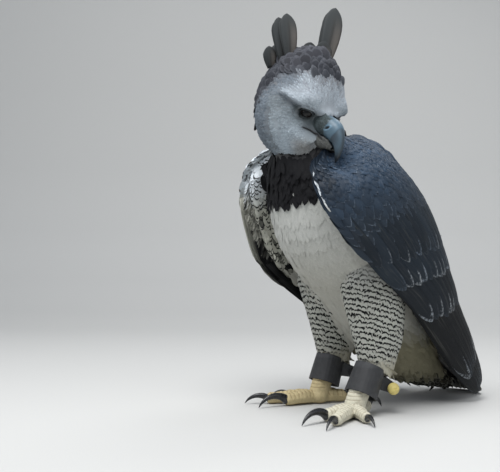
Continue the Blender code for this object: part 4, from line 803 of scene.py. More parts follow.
def build_skin():
    """One skin from the head to the thighs and out over the arms of the wings."""
    only(bpy.data.objects["head"])
    bpy.ops.object.select_all(action="DESELECT")
    bpy.ops.mesh.primitive_uv_sphere_add(segments=96, ring_count=64, radius=1.0)
    head = bpy.context.object
    head.name = "fine_head"
    ways = unit(points_of(head.data))
    set_points(head.data, on_head(ways * (head_reach(ways) - 0.0005)[:, None]))
    forms = {"head": head}
    for node in FLESH[1:]:
        forms[node] = copy_of(node, f"form_{node}")
    for sign in (1, -1):
        forms[f"wing_{SIDES[sign]}"] = wing_shield(sign)
    copies = [add_object(f"twin_{name}", obj.data.copy()) for name, obj in forms.items()]
    skin = fuse(copies, "skin", sizes().skin_voxel, 8)
    # finer cells over the face
    local = in_head(points_of(skin.data))
    face_side = (local[:, 0] > 0.005) & (local[:, 2] < 0.07) & (local[:, 2] > -0.085)
    face_side &= np.linalg.norm(local, axis=1) < 0.12
    only(skin)
    mesh = skin.data
    mesh.vertices.foreach_set("select", face_side)
    for parts in (mesh.edges, mesh.polygons):
        parts.foreach_set("select", np.array([face_side[list(part.vertices)].all() for part in parts], bool))
    bpy.ops.object.mode_set(mode="EDIT")
    bpy.context.tool_settings.mesh_select_mode = (False, False, True)
    bpy.ops.mesh.subdivide(number_cuts=1, smoothness=0)
    bpy.ops.object.mode_set(mode="OBJECT")
    # label each point by the form it lies on
    points, normals = points_of(mesh), points_of(mesh, "normal")
    away = np.stack([near(obj, points) for name, obj in forms.items()], 1)
    names = [name.split("_")[0] for name in forms]
    label = np.array([LABELS.index(names[i]) for i in away.argmin(1)])
    local = in_head(points)
    reach = face_reach(local)
    depth = np.where(label == 0, sizes().face_depth, sizes().body_depth)
    depth = np.where(label == 4, sizes().thigh_depth, depth)
    depth = np.where(label == 5, 0.001, depth)
    dark, _g = crown_share(local)
    depth = np.where(label == 0, depth + 0.0028 * dark, depth)
    points = points - normals * depth[:, None]
    on_it = (label == 0) & (np.abs(away[:, 0]) < 0.003) & (away[:, 1] > 0.012)
    ideal = on_head(unit(local) * (reach - depth)[:, None])
    points = np.where(on_it[:, None], ideal, points)
    # the sockets sink under the eyeballs
    for sign in (1, -1):
        middle, outward, long_way, short_way = eye_axes(sign)
        from_eye = points - middle
        a, b = from_eye @ long_way, from_eye @ short_way
        inside = 1 - ease(1.25, 1.75, np.hypot(a / LID_HALF_WIDTH, b / LID_HALF_HEIGHT))
        inside = inside * (from_eye @ outward > 0)
        points = points - outward * (inside * 0.0075)[:, None]
    set_points(mesh, points)
    mesh.attributes.new("Label", "INT", "POINT").data.foreach_set("value", label.astype(np.int32))
    normals = points_of(mesh, "normal")
    ground = np.empty_like(points)
    body_front = front_share(points)
    ground[:] = body_markings(points, "breast")[0]
    back = body_markings(points, "back")[0]
    ground = np.where((body_front < 0)[:, None], back, ground)
    bib, _r, _b = body_markings(points, "bib")
    high = (bib_edge(points) > 0)[:, None]
    ground = np.where(high & np.isin(label, (1, 2))[:, None], bib, ground)
    for kind, number in (("thigh", 4), ("rump", 3)):
        tone, _rim, bars = body_markings(points, kind)
        if kind == "thigh":
            stripe = 0.5 + 0.5 * np.sin(points[:, 2] / sizes().bar_spacing * 2 * np.pi)
            tone = blend(tone, colours("bar"), bars * ease(0.55, 0.8, stripe))
        ground = np.where((label == number)[:, None], tone, ground)
    ground = np.where((label == 5)[:, None], colours("back"), ground)
    head_tone, _rim = head_markings(in_head(points))
    ground = np.where((label == 0)[:, None], head_tone, ground)
    paint(mesh, "Markings", ground * 0.85, 0.5)
    only(skin)
    bpy.ops.object.mode_set(mode="EDIT")
    bpy.ops.mesh.select_all(action="SELECT")
    mesh.uv_layers.new(name="OFBake")
    bpy.ops.uv.smart_project(angle_limit=math.radians(66), island_margin=0.004)
    bpy.ops.object.mode_set(mode="OBJECT")
    for obj in forms.values():
        data = obj.data
        bpy.data.objects.remove(obj)
        bpy.data.meshes.remove(data)
    # bird's skin with its down: soft, matt, pitted about every 1.5 mm where feathers sit
    material = painted("downy_skin", ((0.0015, 0.20, 0.0003), (0.012, 0.12, 0.0)), Roughness=0.9,
                       Specular_IOR_Level=0.15, Sheen_Weight=0.3, Sheen_Roughness=0.7)
    ready(skin, material, "breast_feather", *FLESH)


def front_share(points):
    """Positive in front of the body's middle plane, negative behind it."""
    rows = flow(BODY_ROWS, np.linspace(0, 1, 60))
    middles = place(0, rows[:, 0], rows[:, 1])
    away = points[:, None] - middles[None]
    k = (away**2).sum(-1).argmin(1)
    return (away[np.arange(len(points)), k]) @ heading(0, 1, -0.15)


# ---------------------------------------------------------------- feathers

def outline(t, base=0.45, peak=0.62, blunt=2.0):
    """Half width of a vane along it, as a share of the widest."""
    grow = base + (1 - base) * np.sin(np.pi / 2 * np.clip(t / peak, 0, 1))
    fall = np.clip(1 - (np.clip(t - peak, 0, 1) / (1 - peak)) ** blunt, 0, 1) ** 0.5
    return np.maximum(grow * fall, 0.07)


def vane_points(path, side, normal, half, across, camber=0.18, retreat=0.0):
    """Points of cambered vanes. The edges of a tip may lie back, by a share of the width."""
    s = across[None, None, :, None]
    h = half[:, :, None, None]
    tangent = unit(np.gradient(path, axis=1))
    back = tangent[:, :, None] * (h * s**2 * retreat)
    return path[:, :, None] + side[:, :, None] * (s * h) + normal[:, :, None] * ((1 - s**2) * camber * h) - back


def feather_mesh(name, grid, t, across, ground, rim, bars, chance, root_uv=None):
    """One mesh from a grid of points for each feather, with its maps and colours."""
    count, rows, cols = grid.shape[:3]
    grid[..., 2] = np.maximum(grid[..., 2], 0.0004)
    index = np.arange(rows * cols).reshape(rows, cols)
    quads = np.stack((index[:-1, :-1], index[1:, :-1], index[1:, 1:], index[:-1, 1:]), -1).reshape(-1, 4)
    faces = (quads[None] + (np.arange(count) * rows * cols)[:, None, None]).reshape(-1, 4)
    mesh = mesh_of(name, grid.reshape(-1, 3), faces)
    u = np.broadcast_to((across / 2 + 0.5)[None], (rows, cols))
    v = np.broadcast_to(t[:, None], (rows, cols))
    barbs = np.stack((u, v), -1)
    if root_uv is None:
        wide = max(1, math.ceil(math.sqrt(count * 3.2)))
        tall = math.ceil(count / wide)
        cell = np.stack((np.arange(count) % wide, np.arange(count) // wide), -1)
        spot = (cell[:, None, None] + 0.06 + 0.88 * barbs[None]) / np.array((wide, tall))
    else:
        spot = root_uv[:, None, None] + (barbs[None] - 0.5) * PATCH
    lay_uv(mesh, "OFBake", spot.reshape(-1, 2))
    lay_uv(mesh, "Barbs", np.tile(barbs.reshape(-1, 2), (count, 1)))
    each = rows * cols
    ground, rim = (v.reshape(-1, 3) if v.ndim == 4 else np.repeat(v, each, 0) for v in (ground, rim))
    paint(mesh, "Markings", ground, np.repeat(chance, each))
    paint(mesh, "Fringe", rim, np.repeat(bars, each))
    mesh.uv_layers.active = mesh.uv_layers["OFBake"]
    return mesh


def roots_on_skin(wanted, spacing, seed):
    """Places on the skin where feathers grow: points, normals, labels and places on its map."""
    mesh = bpy.data.objects["skin"].data
    mesh.calc_loop_triangles()
    count = len(mesh.loop_triangles)
    corners, loops = np.empty(count * 3, np.int32), np.empty(count * 3, np.int32)
    mesh.loop_triangles.foreach_get("vertices", corners)
    mesh.loop_triangles.foreach_get("loops", loops)
    corners, loops = corners.reshape(-1, 3), loops.reshape(-1, 3)
    points, normals = points_of(mesh), points_of(mesh, "normal")
    label = np.empty(len(mesh.vertices), np.int32)
    mesh.attributes["Label"].data.foreach_get("value", label)
    uv = np.empty(len(mesh.loops) * 2, np.float32)
    mesh.uv_layers["OFBake"].data.foreach_get("uv", uv)
    uv = uv.reshape(-1, 2)
    middle = points[corners].mean(1)
    keep = wanted(middle, label[corners[:, 0]], unit(normals[corners].mean(1)))
    corners, loops, middle = corners[keep], loops[keep], middle[keep]
    gap = spacing(middle) if callable(spacing) else np.full(len(middle), spacing)
    a, b, c = (points[corners[:, i]] for i in range(3))
    area = np.linalg.norm(np.cross(b - a, c - a), axis=1) / 2
    rng = np.random.default_rng(seed)
    weight = area / gap**2
    total = int(weight.sum() * 3.2)
    pick = rng.choice(len(corners), total, p=weight / weight.sum())
    r1, r2 = np.sqrt(rng.random(total)), rng.random(total)
    share = np.stack((1 - r1, r1 * (1 - r2), r1 * r2), 1)
    spots = (points[corners[pick]] * share[..., None]).sum(1)
    ways = unit((normals[corners[pick]] * share[..., None]).sum(1))
    maps = (uv[loops[pick]] * share[..., None]).sum(1)
    room = gap[pick] * 0.86
    tree = kdtree.KDTree(total)
    for i, spot in enumerate(spots):
        tree.insert(spot, i)
    tree.balance()
    alive = np.ones(total, bool)
    for i in range(total):
        if alive[i]:
            for _co, j, _d in tree.find_range(spots[i], room[i]):
                if j > i:
                    alive[j] = False
    return spots[alive], ways[alive], label[corners[pick, 0]][alive], maps[alive], rng


def lie_of(points, normals, label):
    """The way the coat lies: away from the bill over the head, and down the body and the legs."""
    local = in_head(points)
    from_bill = local - np.array((0.085, 0.0, -0.022))
    from_bill[:, 2] -= 0.35 * ease(0.02, 0.07, np.abs(local[:, 1])) * 0.08
    head_way = from_bill[:, :1] * FACE - from_bill[:, 1:2] * LEFT + from_bill[:, 2:3] * CROWN
    at = np.linspace(0, 1, 60)
    rows = flow(BODY_ROWS, at)
    middles = place(0, rows[:, 0], rows[:, 1])
    k = ((points[:, None] - middles[None]) ** 2).sum(-1).argmin(1)
    body_way = unit(np.gradient(middles, axis=0))[k]
    body_way = body_way + np.array((0, 0, -0.5)) * (label == 2)[:, None]
    way = np.where((label == 0)[:, None], unit(head_way), body_way)
    down = np.stack([leg_point(s, 0.04) - leg_point(s, 0.12) for s in (1, -1)])
    leg_way = unit(np.where(points[:, :1] > BOX_MIDDLE[0] * -1, down[0], down[1])) * 0.6 + np.array((0, 0.25, -0.9))
    way = np.where((label == 4)[:, None], unit(leg_way), way)
    way = way - normals * dot(way, normals)
    return unit(way)


def coat_grid(points, normals, ways, lengths, widths, lift, t, across, rng, stray=0.14, bend=0.5, **shape):
    """Grids of points of the feathers of a coat, that lie along the skin and rise by their lift."""
    ways = turned(ways, normals, rng.normal(0, stray, len(points)))
    side = np.cross(normals, ways)
    lengths = lengths * rng.uniform(0.86, 1.14, len(points))
    rise = np.tan(np.radians(lift * rng.uniform(0.7, 1.3, len(points))))
    tt = t[None, :, None]
    long = lengths[:, None, None]
    high = long * (rise[:, None, None] * (tt - 0.5 * bend * tt**2))
    path = points[:, None] + ways[:, None] * (long * tt) + normals[:, None] * (high - 0.0006)
    half = widths[:, None] / 2 * outline(t, **shape)[None]
    roll = rng.normal(0, 0.10, len(points))
    side = turned(side, ways, roll)
    normal = np.cross(ways, side)
    side, normal = (np.broadcast_to(v[:, None], path.shape) for v in (side, normal))
    return vane_points(path, side, normal, half, across, retreat=0.5)


SHORT_T = np.array((0.0, 0.42, 0.78, 1.0))
BODY_T = np.array((0.0, 0.30, 0.58, 0.80, 0.93, 1.0))
TRIPLE = np.array((-1.0, 0.0, 1.0))
WIDE = np.array((-1.0, -0.5, 0.0, 0.5, 1.0))


def coat_piece(name, material, slot, roots, lengths, widths, lift, markings, t=BODY_T, across=TRIPLE, **shape):
    """A piece of the coat over places on the skin."""
    points, normals, label, maps, rng = roots
    ground, rim, bars = markings
    ways = lie_of(points, normals, label)
    grid = coat_grid(points, normals, ways, lengths, widths, lift, t, across, rng, **shape)
    mesh = feather_mesh(name, grid, t, across, ground, rim, bars, rng.random(len(points)), maps)
    return ready(add_object(name, mesh), material, slot)


def rng_tone(count, seed, spread):
    """A tone for each feather."""
    return np.random.default_rng(seed).uniform(1 - spread, 1 + spread, (count, 1))


def off_face(points):
    """How far points of the head are from the eyes' lids and from the bill, 0 where nothing grows."""
    clear = np.ones(len(points), bool)
    for sign in (1, -1):
        middle, outward, long_way, short_way = eye_axes(sign)
        away = points - middle
        a, b = away @ long_way, away @ short_way
        clear &= (np.hypot(a / LID_HALF_WIDTH, b / LID_HALF_HEIGHT) > 1.62) | (away @ outward < 0)
    local = in_head(points)
    f, r, u = local[:, 0], local[:, 1], local[:, 2]
    bill = (f > 0.05) & (np.hypot(r / 0.0140, (u + 0.013) / 0.0165) < 1.0)
    return clear & ~bill


def build_head_coat():
    """The small feathers of the face and the larger ones of crown and nape."""
    size = sizes()

    def reach_back(points):
        local = in_head(points)
        return np.linalg.norm(local - np.array((0.080, 0.0, -0.018)), axis=1)

    def on_face_part(points, label, _n):
        dark, _g = crown_share(in_head(points))
        return (label == 0) & (dark < 0.5) & off_face(points)

    roots = roots_on_skin(on_face_part, lambda p: 0.0024 + 0.0012 * ease(0.03, 0.14, reach_back(p)), 11)
    local = in_head(roots[0])
    back = reach_back(roots[0])
    long = size.face_feather * (0.50 + 0.38 * ease(0.02, 0.05, back) + 0.8 * ease(0.08, 0.17, back))
    ground, rim = head_markings(local)
    ground = ground * rng_tone(len(back), 14, 0.12)
    lift = 7 + 9 * ease(-0.04, -0.08, local[:, 2])
    soft = plumage("face_contour_feather", tip=0.72, edge=0.9, grain=700.0, barbs=0.25, vary=0.20)
    coat_piece("face_coat", soft, "head_feather", roots, long, long * 0.52, lift,
               (ground, rim, 0 * back), t=SHORT_T, stray=0.20, base=0.5, peak=0.5)

    def on_crown(points, label, _n):
        dark, _g = crown_share(in_head(points))
        return (label == 0) & (dark >= 0.4)

    roots = roots_on_skin(on_crown, 0.0082, 12)
    local = in_head(roots[0])
    ground, rim = head_markings(local)
    ground = blend(ground, colours("crown"), 0.75) * rng_tone(len(ground), 16, 0.2)
    rim = blend(rim, colours("crown_edge"), 0.75)
    high = ease(0.0, 0.05, local[:, 2])
    long = size.crown_feather * (1.15 - 0.35 * high)
    bold = plumage("crown_contour_feather", tip=0.66, edge=0.68, grain=500.0, barbs=0.4, broken=0.5)
    coat_piece("crown_coat", bold, "head_feather", roots, long, long * 0.95, 7 + 6 * high,
               (ground, rim, 0 * high), across=WIDE, stray=0.20, base=0.70, peak=0.55, bend=0.9)

    def by_crest(points, label, _n):
        local = in_head(points)
        f, u = local[:, 0], local[:, 2]
        return (label == 0) & (u > 0.058) & (f < 0.022) & (f > -0.05) & (crown_share(local)[0] > 0.9)

    roots = roots_on_skin(by_crest, 0.0105, 13)
    ground, rim = head_markings(in_head(roots[0]))
    tone = rng_tone(len(ground), 17, 0.2) * (1.04, 1.0, 0.98)
    long = np.full(len(roots[0]), 0.028)
    coat_piece("crest_base_coat", bold, "head_feather", roots, long, long * 0.85, np.full(len(long), 20.0),
               (ground * tone, rim, 0 * long), across=WIDE, stray=0.25, base=0.62, peak=0.60, bend=0.9)


def build_bristles():
    """Bristles of the lores over the root of the upper bill, and chin feathers over the lower one."""
    rng = np.random.default_rng(15)
    # name, rows of the bill, places along it, angles round it, swell at the root and below, droop, count, length,
    # width, lift, tones
    groups = (
        ("lore_bristles", UPPER_BILL_ROWS[:4], (0.064, 0.0875), (-40, 62), (0.42, 0.0), 0.35, 620, 0.0095, 0.0019, 4,
         colours("lores") * 0.9, (0.6, 1.35)),
        # the chin feathers are the chin grey made greyer and darkened to under half: the darkening is painted shade
        # under the lower bill
        ("chin_feathers", LOWER_BILL_ROWS, (0.052, 0.1075), (-90, 30), (0.25, 1.0), 0.10, 900, 0.0085, 0.0042, 3,
         colours("chin") * (0.42, 0.44, 0.44), (0.86, 1.10)),
    )
    for name, rows, (low, high), (first, last), (swell, sag), droop, count, long, wide, lift, tone, (dim, bright) in groups:
        roots, ways, outs = [], [], []
        for sign in (1, -1):
            f = rng.uniform(low, high, count)
            values = flow([row[1:] for row in rows], f)
            angle = np.radians(rng.uniform(first, last, count))
            out = np.stack((0 * f, sign * np.cos(angle), np.sin(angle)), -1)
            wider = 1 + swell * (high - f) / (high - low)
            tall = np.where(angle > 0, values[:, 2], values[:, 3] * (1 + sag * (high - f) / (high - low))) * wider
            spot = np.stack((f, sign * values[:, 1] * wider * np.cos(angle), values[:, 0] + tall * np.sin(angle)), -1)
            way = np.stack((np.ones(count), 0.12 * rng.normal(0, 1, count), -droop * (0.4 + 1.2 * np.cos(angle) ** 2)
                            + 0.2 * rng.normal(0, 1, count)), -1)
            axes = np.stack((FACE, -LEFT, CROWN))
            roots.append(on_head(spot + out * 0.0004))
            ways.append(unit((way - out * dot(way, out)) @ axes))
            outs.append(unit(out @ axes))
        roots, ways, outs = (np.concatenate(v) for v in (roots, ways, outs))
        total = len(roots)
        grid = coat_grid(roots, outs, ways, np.full(total, long), np.full(total, wide), np.full(total, lift), SHORT_T,
                         TRIPLE, rng, stray=0.2, base=0.8, peak=0.4)
        ground = tone * rng.uniform(dim, bright, (total, 1))
        mesh = feather_mesh(name, grid, SHORT_T, TRIPLE, ground, ground * 1.1, np.zeros(total), rng.random(total))
        ready(add_object(name, mesh), bpy.data.materials["face_contour_feather"], "head_feather")


def armpit(points, label, normals):
    """The inner part of the right wing's arm, next to the body, that the body's feathers cover."""
    side = points[:, 0] + BOX_MIDDLE[0]
    inner = (label == 5) & (side < 0) & (normals[:, 0] > -0.3) & (points[:, 2] < 0.475)
    return inner & (side > -0.134 - 0.25 * np.clip(0.40 - points[:, 2], 0, 0.08)) & (points[:, 2] > 0.24)


def build_body_coat():
    """Bib, breast, back, thighs and the loose feathers under the tail."""
    size = sizes()
    soft = plumage("breast_contour_feather", tip=0.86, edge=0.95, grain=420.0, barbs=0.15, vary=0.07, Roughness=0.9)
    black = plumage("bib_contour_feather", tip=0.84, edge=0.9, grain=420.0, barbs=0.3, Roughness=0.7)
    slate = plumage("back_contour_feather", tip=0.93, edge=0.93, grain=420.0, barbs=0.3, Roughness=0.55)
    thigh = plumage("thigh_contour_feather", tip=0.92, edge=1.0, grain=420.0, barbs=0.2, rows=size.bar_spacing, vary=0.10,
                    Roughness=0.9)

    def piece(name, material, slot, wanted, gap, length, width, lift, kind, seed, **shape):
        roots = roots_on_skin(wanted, gap, seed)
        long = np.full(len(roots[0]), length)
        coat_piece(name, material, slot, roots, long, long * width, np.full(len(long), lift),
                   body_markings(roots[0], kind), **shape)

    def bib(points, label, normals):
        here = np.isin(label, (1, 2)) | armpit(points, label, normals)
        return here & (bib_edge(points) > 0.010) & (front_share(points) > -0.03)

    def breast(points, label, normals):
        here = np.isin(label, (1, 2)) & (front_share(points) > -0.02) | armpit(points, label, normals)
        return here & (bib_edge(points) <= 0.018)

    def back(points, label, normals):
        return np.isin(label, (1, 2)) & (front_share(points) <= -0.018)

    piece("bib_coat", black, "neck_feather", bib, 0.0060, size.bib_feather, 0.50, 12, "bib", 21, stray=0.32)
    piece("breast_coat", soft, "breast_feather", breast, 0.0047, size.breast_feather, 0.42, 3.5, "breast", 22, stray=0.10)
    piece("back_coat", slate, "wing_feather", back, 0.0110, size.back_feather, 0.50, 4, "back", 23,
          across=WIDE, stray=0.08, base=0.5, peak=0.55)
    piece("rump_coat", soft, "breast_feather", lambda p, l, n: l == 3, 0.0056, size.rump_feather, 0.34, 10, "rump", 24,
          stray=0.25)
    piece("thigh_coat", thigh, "thigh_feather", lambda p, l, n: l == 4, 0.0054, size.thigh_feather, 0.66, 4.5, "thigh", 25,
          stray=0.08, base=0.6, peak=0.6)


def build_wings():
    """Both folded wings: lesser coverts in scales, then tiers of coverts and flight feathers."""
    cover = plumage("wing_covert_feather", tip=0.90, edge=1.02, grain=420.0, barbs=0.35, broken=0.7, Roughness=0.5,
                    Specular_IOR_Level=0.3)
    quill = plumage("flight_feather", tip=0.950, edge=0.98, grain=300.0, streak=60.0, barbs=0.4, broken=0.9,
                    sheen_and_wear_streaks=0.2, Roughness=0.55, Specular_IOR_Level=0.22)
    # tier: vanes, root, tip at lead and trail, across at root and tip, width, white at the tip
    tiers = (
        ("primary", 10, 0.50, 1.00, 0.94, (0.02, 0.54), (0.02, 0.82), 0.034, 0.0),
        ("secondary", 16, 0.44, 0.90, 0.83, (0.04, 0.95), (0.04, 0.97), 0.036, 0.1),
        ("greater", 17, 0.36, 0.66, 0.69, (0.04, 0.97), (0.04, 0.98), 0.034, 0.45),
        ("middle", 18, 0.27, 0.53, 0.57, (0.03, 0.97), (0.03, 0.97), 0.032, 0.75),
        ("lower_lesser", 19, 0.21, 0.44, 0.49, (0.02, 0.98), (0.02, 0.98), 0.030, 0.25),
    )
    for sign in (1, -1):
        rng = np.random.default_rng(31 + sign)
        t = np.array((0, 0.2, 0.4, 0.58, 0.72, 0.83, 0.91, 0.96, 0.99, 1.0))
        across = np.linspace(-1, 1, 7)
        grids, grounds, rims, bars, chances = [], [], [], [], []
        for _name, count, root, lead_tip, trail_tip, (c0, c1), (d0, d1), width, white in tiers:
            share = np.linspace(0, 1, count)
            tip = lead_tip + (trail_tip - lead_tip) * share + rng.uniform(-0.008, 0.008, count)
            start = (c0 + (c1 - c0) * share)[:, None]
            end = (d0 + (d1 - d0) * share)[:, None]
            along = root + (tip[:, None] - root) * t[None]
            over = start + (end - start) * t[None]
            point, run, normal = wing_frame(sign, np.minimum(along, 1.008), over)
            lift = -0.0035 + 0.050 * (along - root)
            path = point + normal * lift[..., None]
            tangent = unit(np.gradient(path, axis=1))
            side = unit(np.cross(normal, tangent))
            roll = np.full(side.shape[:2], math.radians(-9.0 * sign)) * -1
            side = turned(side, tangent, roll)
            normal = np.cross(tangent, side)
            half = width / 2 * outline(t, 0.6, 0.72, 2.4)[None] * rng.uniform(0.95, 1.05, (count, 1))
            grids.append(vane_points(path, side, normal, half, across, 0.10, 0.35))
            tone, rim_tone, bar = wing_markings(sign, tip, (c0 + d0) / 2 + (c1 - c0) * share, white, rng)
            grounds.append(tone)
            rims.append(rim_tone)
            bars.append(bar)
            chances.append(rng.random(count))
        mesh = feather_mesh(f"wing_quills_{SIDES[sign]}", np.concatenate(grids), t, across, np.concatenate(grounds),
                            np.concatenate(rims), np.concatenate(bars), np.concatenate(chances))
        quills = add_object(f"wing_quills_{SIDES[sign]}", mesh)
        modify(quills, "SOLIDIFY", thickness=0.0008, offset=-1.0)
        ready(quills, quill, "wing_feather", f"wing_{SIDES[sign]}")

        # lesser coverts, in staggered rows like scales
        t, across = BODY_T, WIDE
        rows = np.linspace(-0.010, 0.335, 34)
        root, over = [], []
        for k, row in enumerate(rows):
            count = 19 + (k % 2)
            at = (np.arange(count) + 0.5 * (k % 2)) / 19
            root.append(np.full(count, row) + rng.normal(0, 0.0025, count))
            low = -0.015 if sign > 0 else 0.040
            over.append(at * (1.015 - low) + low + rng.normal(0, 0.006, count))
        root, over = np.concatenate(root), np.concatenate(over)
        count = len(root)
        long = (0.052 + 0.035 * ease(0.1, 0.35, root)) * rng.uniform(0.9, 1.1, count)
        along = root[:, None] + long[:, None] * t[None]
        drift = np.where(over < 0.2, 0.010, 0.0)[:, None]
        point, run, normal = wing_frame(sign, np.maximum(along, 0.0), over[:, None] + drift * t[None])
        path = point + normal * (-0.0035 + 0.11 * long[:, None] * t[None])[..., None]
        tangent = unit(np.gradient(path, axis=1))
        side = unit(np.cross(normal, tangent))
        side = turned(side, tangent, np.repeat(rng.normal(0, 0.08, count)[:, None], len(t), 1))
        normal = np.cross(tangent, side)
        half = (0.0095 + 0.0035 * ease(0.0, 0.3, root))[:, None] * outline(t, 0.55, 0.6)[None]
        grid = vane_points(path, side, normal, half, across, 0.16, 0.5)
        tone, rim_tone, bar = wing_markings(sign, root + long, over, 0.0, rng)
        mesh = feather_mesh(f"wing_scales_{SIDES[sign]}", grid, t, across, tone, rim_tone, bar, rng.random(count))
        ready(add_object(f"wing_scales_{SIDES[sign]}", mesh), cover, "wing_feather", f"wing_{SIDES[sign]}")


def wing_markings(sign, tip, over, white, rng):
    """Ground and rim colours and bars of wing feathers, by where their tips lie."""
    count = len(tip)
    ground = np.repeat(colours("wing")[None], count, 0)
    # painted sheen: the shoulder is blended to a bluer slate; the feathers go darker towards their tips
    ground = blend(ground, colours("wing_top"), ease(0.40, 0.12, tip)) * rng.uniform(0.8, 1.2, (count, 1))
    low = ease(0.52, 0.80, tip)
    ground = blend(ground, colours("back"), 0.9 * low)
    # painted shade where the front of the shoulder meets the bib
    ground = blend(ground, colours("back"), 0.65 * ease(0.20, 0.02, over) * ease(0.30, 0.18, tip))
    strength = rng.random(count) ** 2.5 * (1 - 0.7 * ease(0.6, 0.8, tip))
    rim = blend(ground * 1.15, np.repeat(colours("wing_edge")[None], count, 0), 0.10 + 0.85 * strength)
    pale = (rng.random(count) < white) * rng.uniform(0.10, 0.48, count)
    rim = blend(rim, colours("white"), pale)
    bars = np.zeros(count)
    edge = 0 * over if sign > 0 else ease(0.17, 0.09, over)
    top = ease(0.30, 0.20, tip)
    mottled = blend(np.repeat((colours("grey") * 2.0)[None], count, 0), colours("white") * 1.35, top)
    bottom = ease(0.45, 0.62, tip)
    mottled = blend(mottled, colours("back"), bottom)
    ground = blend(ground, mottled, edge)
    rim = blend(rim, mottled * 1.05, edge)
    rim = blend(rim, colours("bar"), edge * (rng.random(count) < 0.40))
    bars = bars + edge * (rng.random(count) < 0.75) * (1 - 0.5 * bottom)
    return ground, rim, bars


def build_wing_edge():
    """The small pale feathers along the front edges of both wings."""
    material = bpy.data.materials["wing_lining_feather"]
    # side, count, along the wing, across it, length, width, share of dark tips, the way they face
    for sign, count, (first, last), (low, high), long, wide, dark_tips, faced in (
        (1, 58, (0.106, 0.222), (-0.024, -0.010), 0.014, 0.0052, 0.25, None),
        (-1, 230, (0.000, 0.420), (0.040, 0.110), 0.017, 0.0100, 0.55, heading(0.30, 1.0, 0.15)),
    ):
        rng = np.random.default_rng(71 + sign)
        root = np.linspace(first, last, count) + rng.normal(0, 0.002, count)
        over = low + (high - low) * rng.random(count)
        point, run, normal = wing_frame(sign, root, over)
        if faced is not None:
            normal = unit(faced + 0 * normal)
            point = point + normal * 0.0010
        run = unit(run - normal * dot(run, normal))
        pale, grey, back = (np.repeat(colours(name)[None], count, 0) for name in ("white", "grey", "back"))
        ground = blend(grey * 1.9, pale * 1.2, ease(0.26, 0.16, root))
        ground = blend(ground, back, 0.9 * (rng.random(count) < 0.12 * (sign < 0)))
        ground = blend(ground, back, ease(0.30, 0.42, root + 0.03 * rng.normal(0, 1, count)))
        rim = blend(ground * 1.05, back, rng.random(count) < dark_tips)
        spread = rng.uniform(0.8, 1.2, count)
        grid = coat_grid(point, normal, run, long * spread, wide * spread, np.full(count, 7.0), BODY_T, WIDE, rng, base=0.6)
        name = f"wing_edge_{SIDES[sign]}"
        mesh = feather_mesh(name, grid, BODY_T, WIDE, ground * rng.uniform(0.75, 1.05, (count, 1)), rim,
                            (rng.random(count) < 0.4) * 0.5 * (sign < 0), rng.random(count))
        ready(add_object(name, mesh), material, "wing_feather", f"wing_{SIDES[sign]}")


def build_lining():
    """Small feathers over the front and the inside of the wing arms."""
    lining = plumage("wing_lining_feather", tip=0.93, edge=0.95, grain=420.0, barbs=0.25, vary=0.2, Roughness=0.8)
    for sign in (1, -1):
        along, across = (v.ravel() for v in np.meshgrid(np.linspace(0, 0.6, 40), np.linspace(0, 1, 26)))
        spots, runs, faces = wing_frame(sign, along, across)
        tree = kdtree.KDTree(len(spots))
        for i, spot in enumerate(spots):
            tree.insert(spot, i)
        tree.balance()

        def inside(points, label, normals):
            mine = (label == 5) & ((points[:, 0] + BOX_MIDDLE[0]) * sign > 0) & ~armpit(points, label, normals)
            near_by = np.array([tree.find(p)[1] if m else 0 for p, m in zip(points, mine)])
            shown = along[near_by] > 0.10 if sign > 0 else across[near_by] < 0.48
            return mine & shown & (dot(normals, faces[near_by])[:, 0] < (0.45 if sign > 0 else 0.85))

        points, normals, label, maps, rng = roots_on_skin(inside, 0.0062, 61 + sign)
        near_by = np.array([tree.find(p)[1] for p in points])
        ways = runs[near_by]
        ways = unit(ways - normals * dot(ways, normals))
        count = len(points)
        at = along[near_by]
        top = ease(0.26, 0.14, at)
        ground = blend(np.repeat((colours("grey") * 2.1)[None], count, 0), colours("white") * 1.4, top)
        dark = np.maximum(ease(0.42, 0.54, at + 0.04 * rng.normal(0, 1, count)), ease(0.32, 0.46, across[near_by]))
        blot = (rng.random(count) < 0.12 + 0.20 * ease(0.26, 0.40, at)) * (1 - top)
        ground = blend(ground, colours("back"), np.clip(dark + 0.8 * blot, 0, 1))
        ground = ground * rng.uniform(0.85, 1.1, (count, 1))
        bars = (rng.random(count) < 0.55) * (1 - dark) * 0.95
        long = np.full(count, 0.019)
        grid = coat_grid(points, normals, ways, long, long * 0.66, np.full(count, 4.0), BODY_T, WIDE, rng, base=0.55)
        mesh = feather_mesh(f"wing_lining_{SIDES[sign]}", grid, BODY_T, WIDE, ground, ground * 1.08, bars,
                            rng.random(count), maps)
        ready(add_object(f"wing_lining_{SIDES[sign]}", mesh), lining, "wing_feather", f"wing_{SIDES[sign]}")


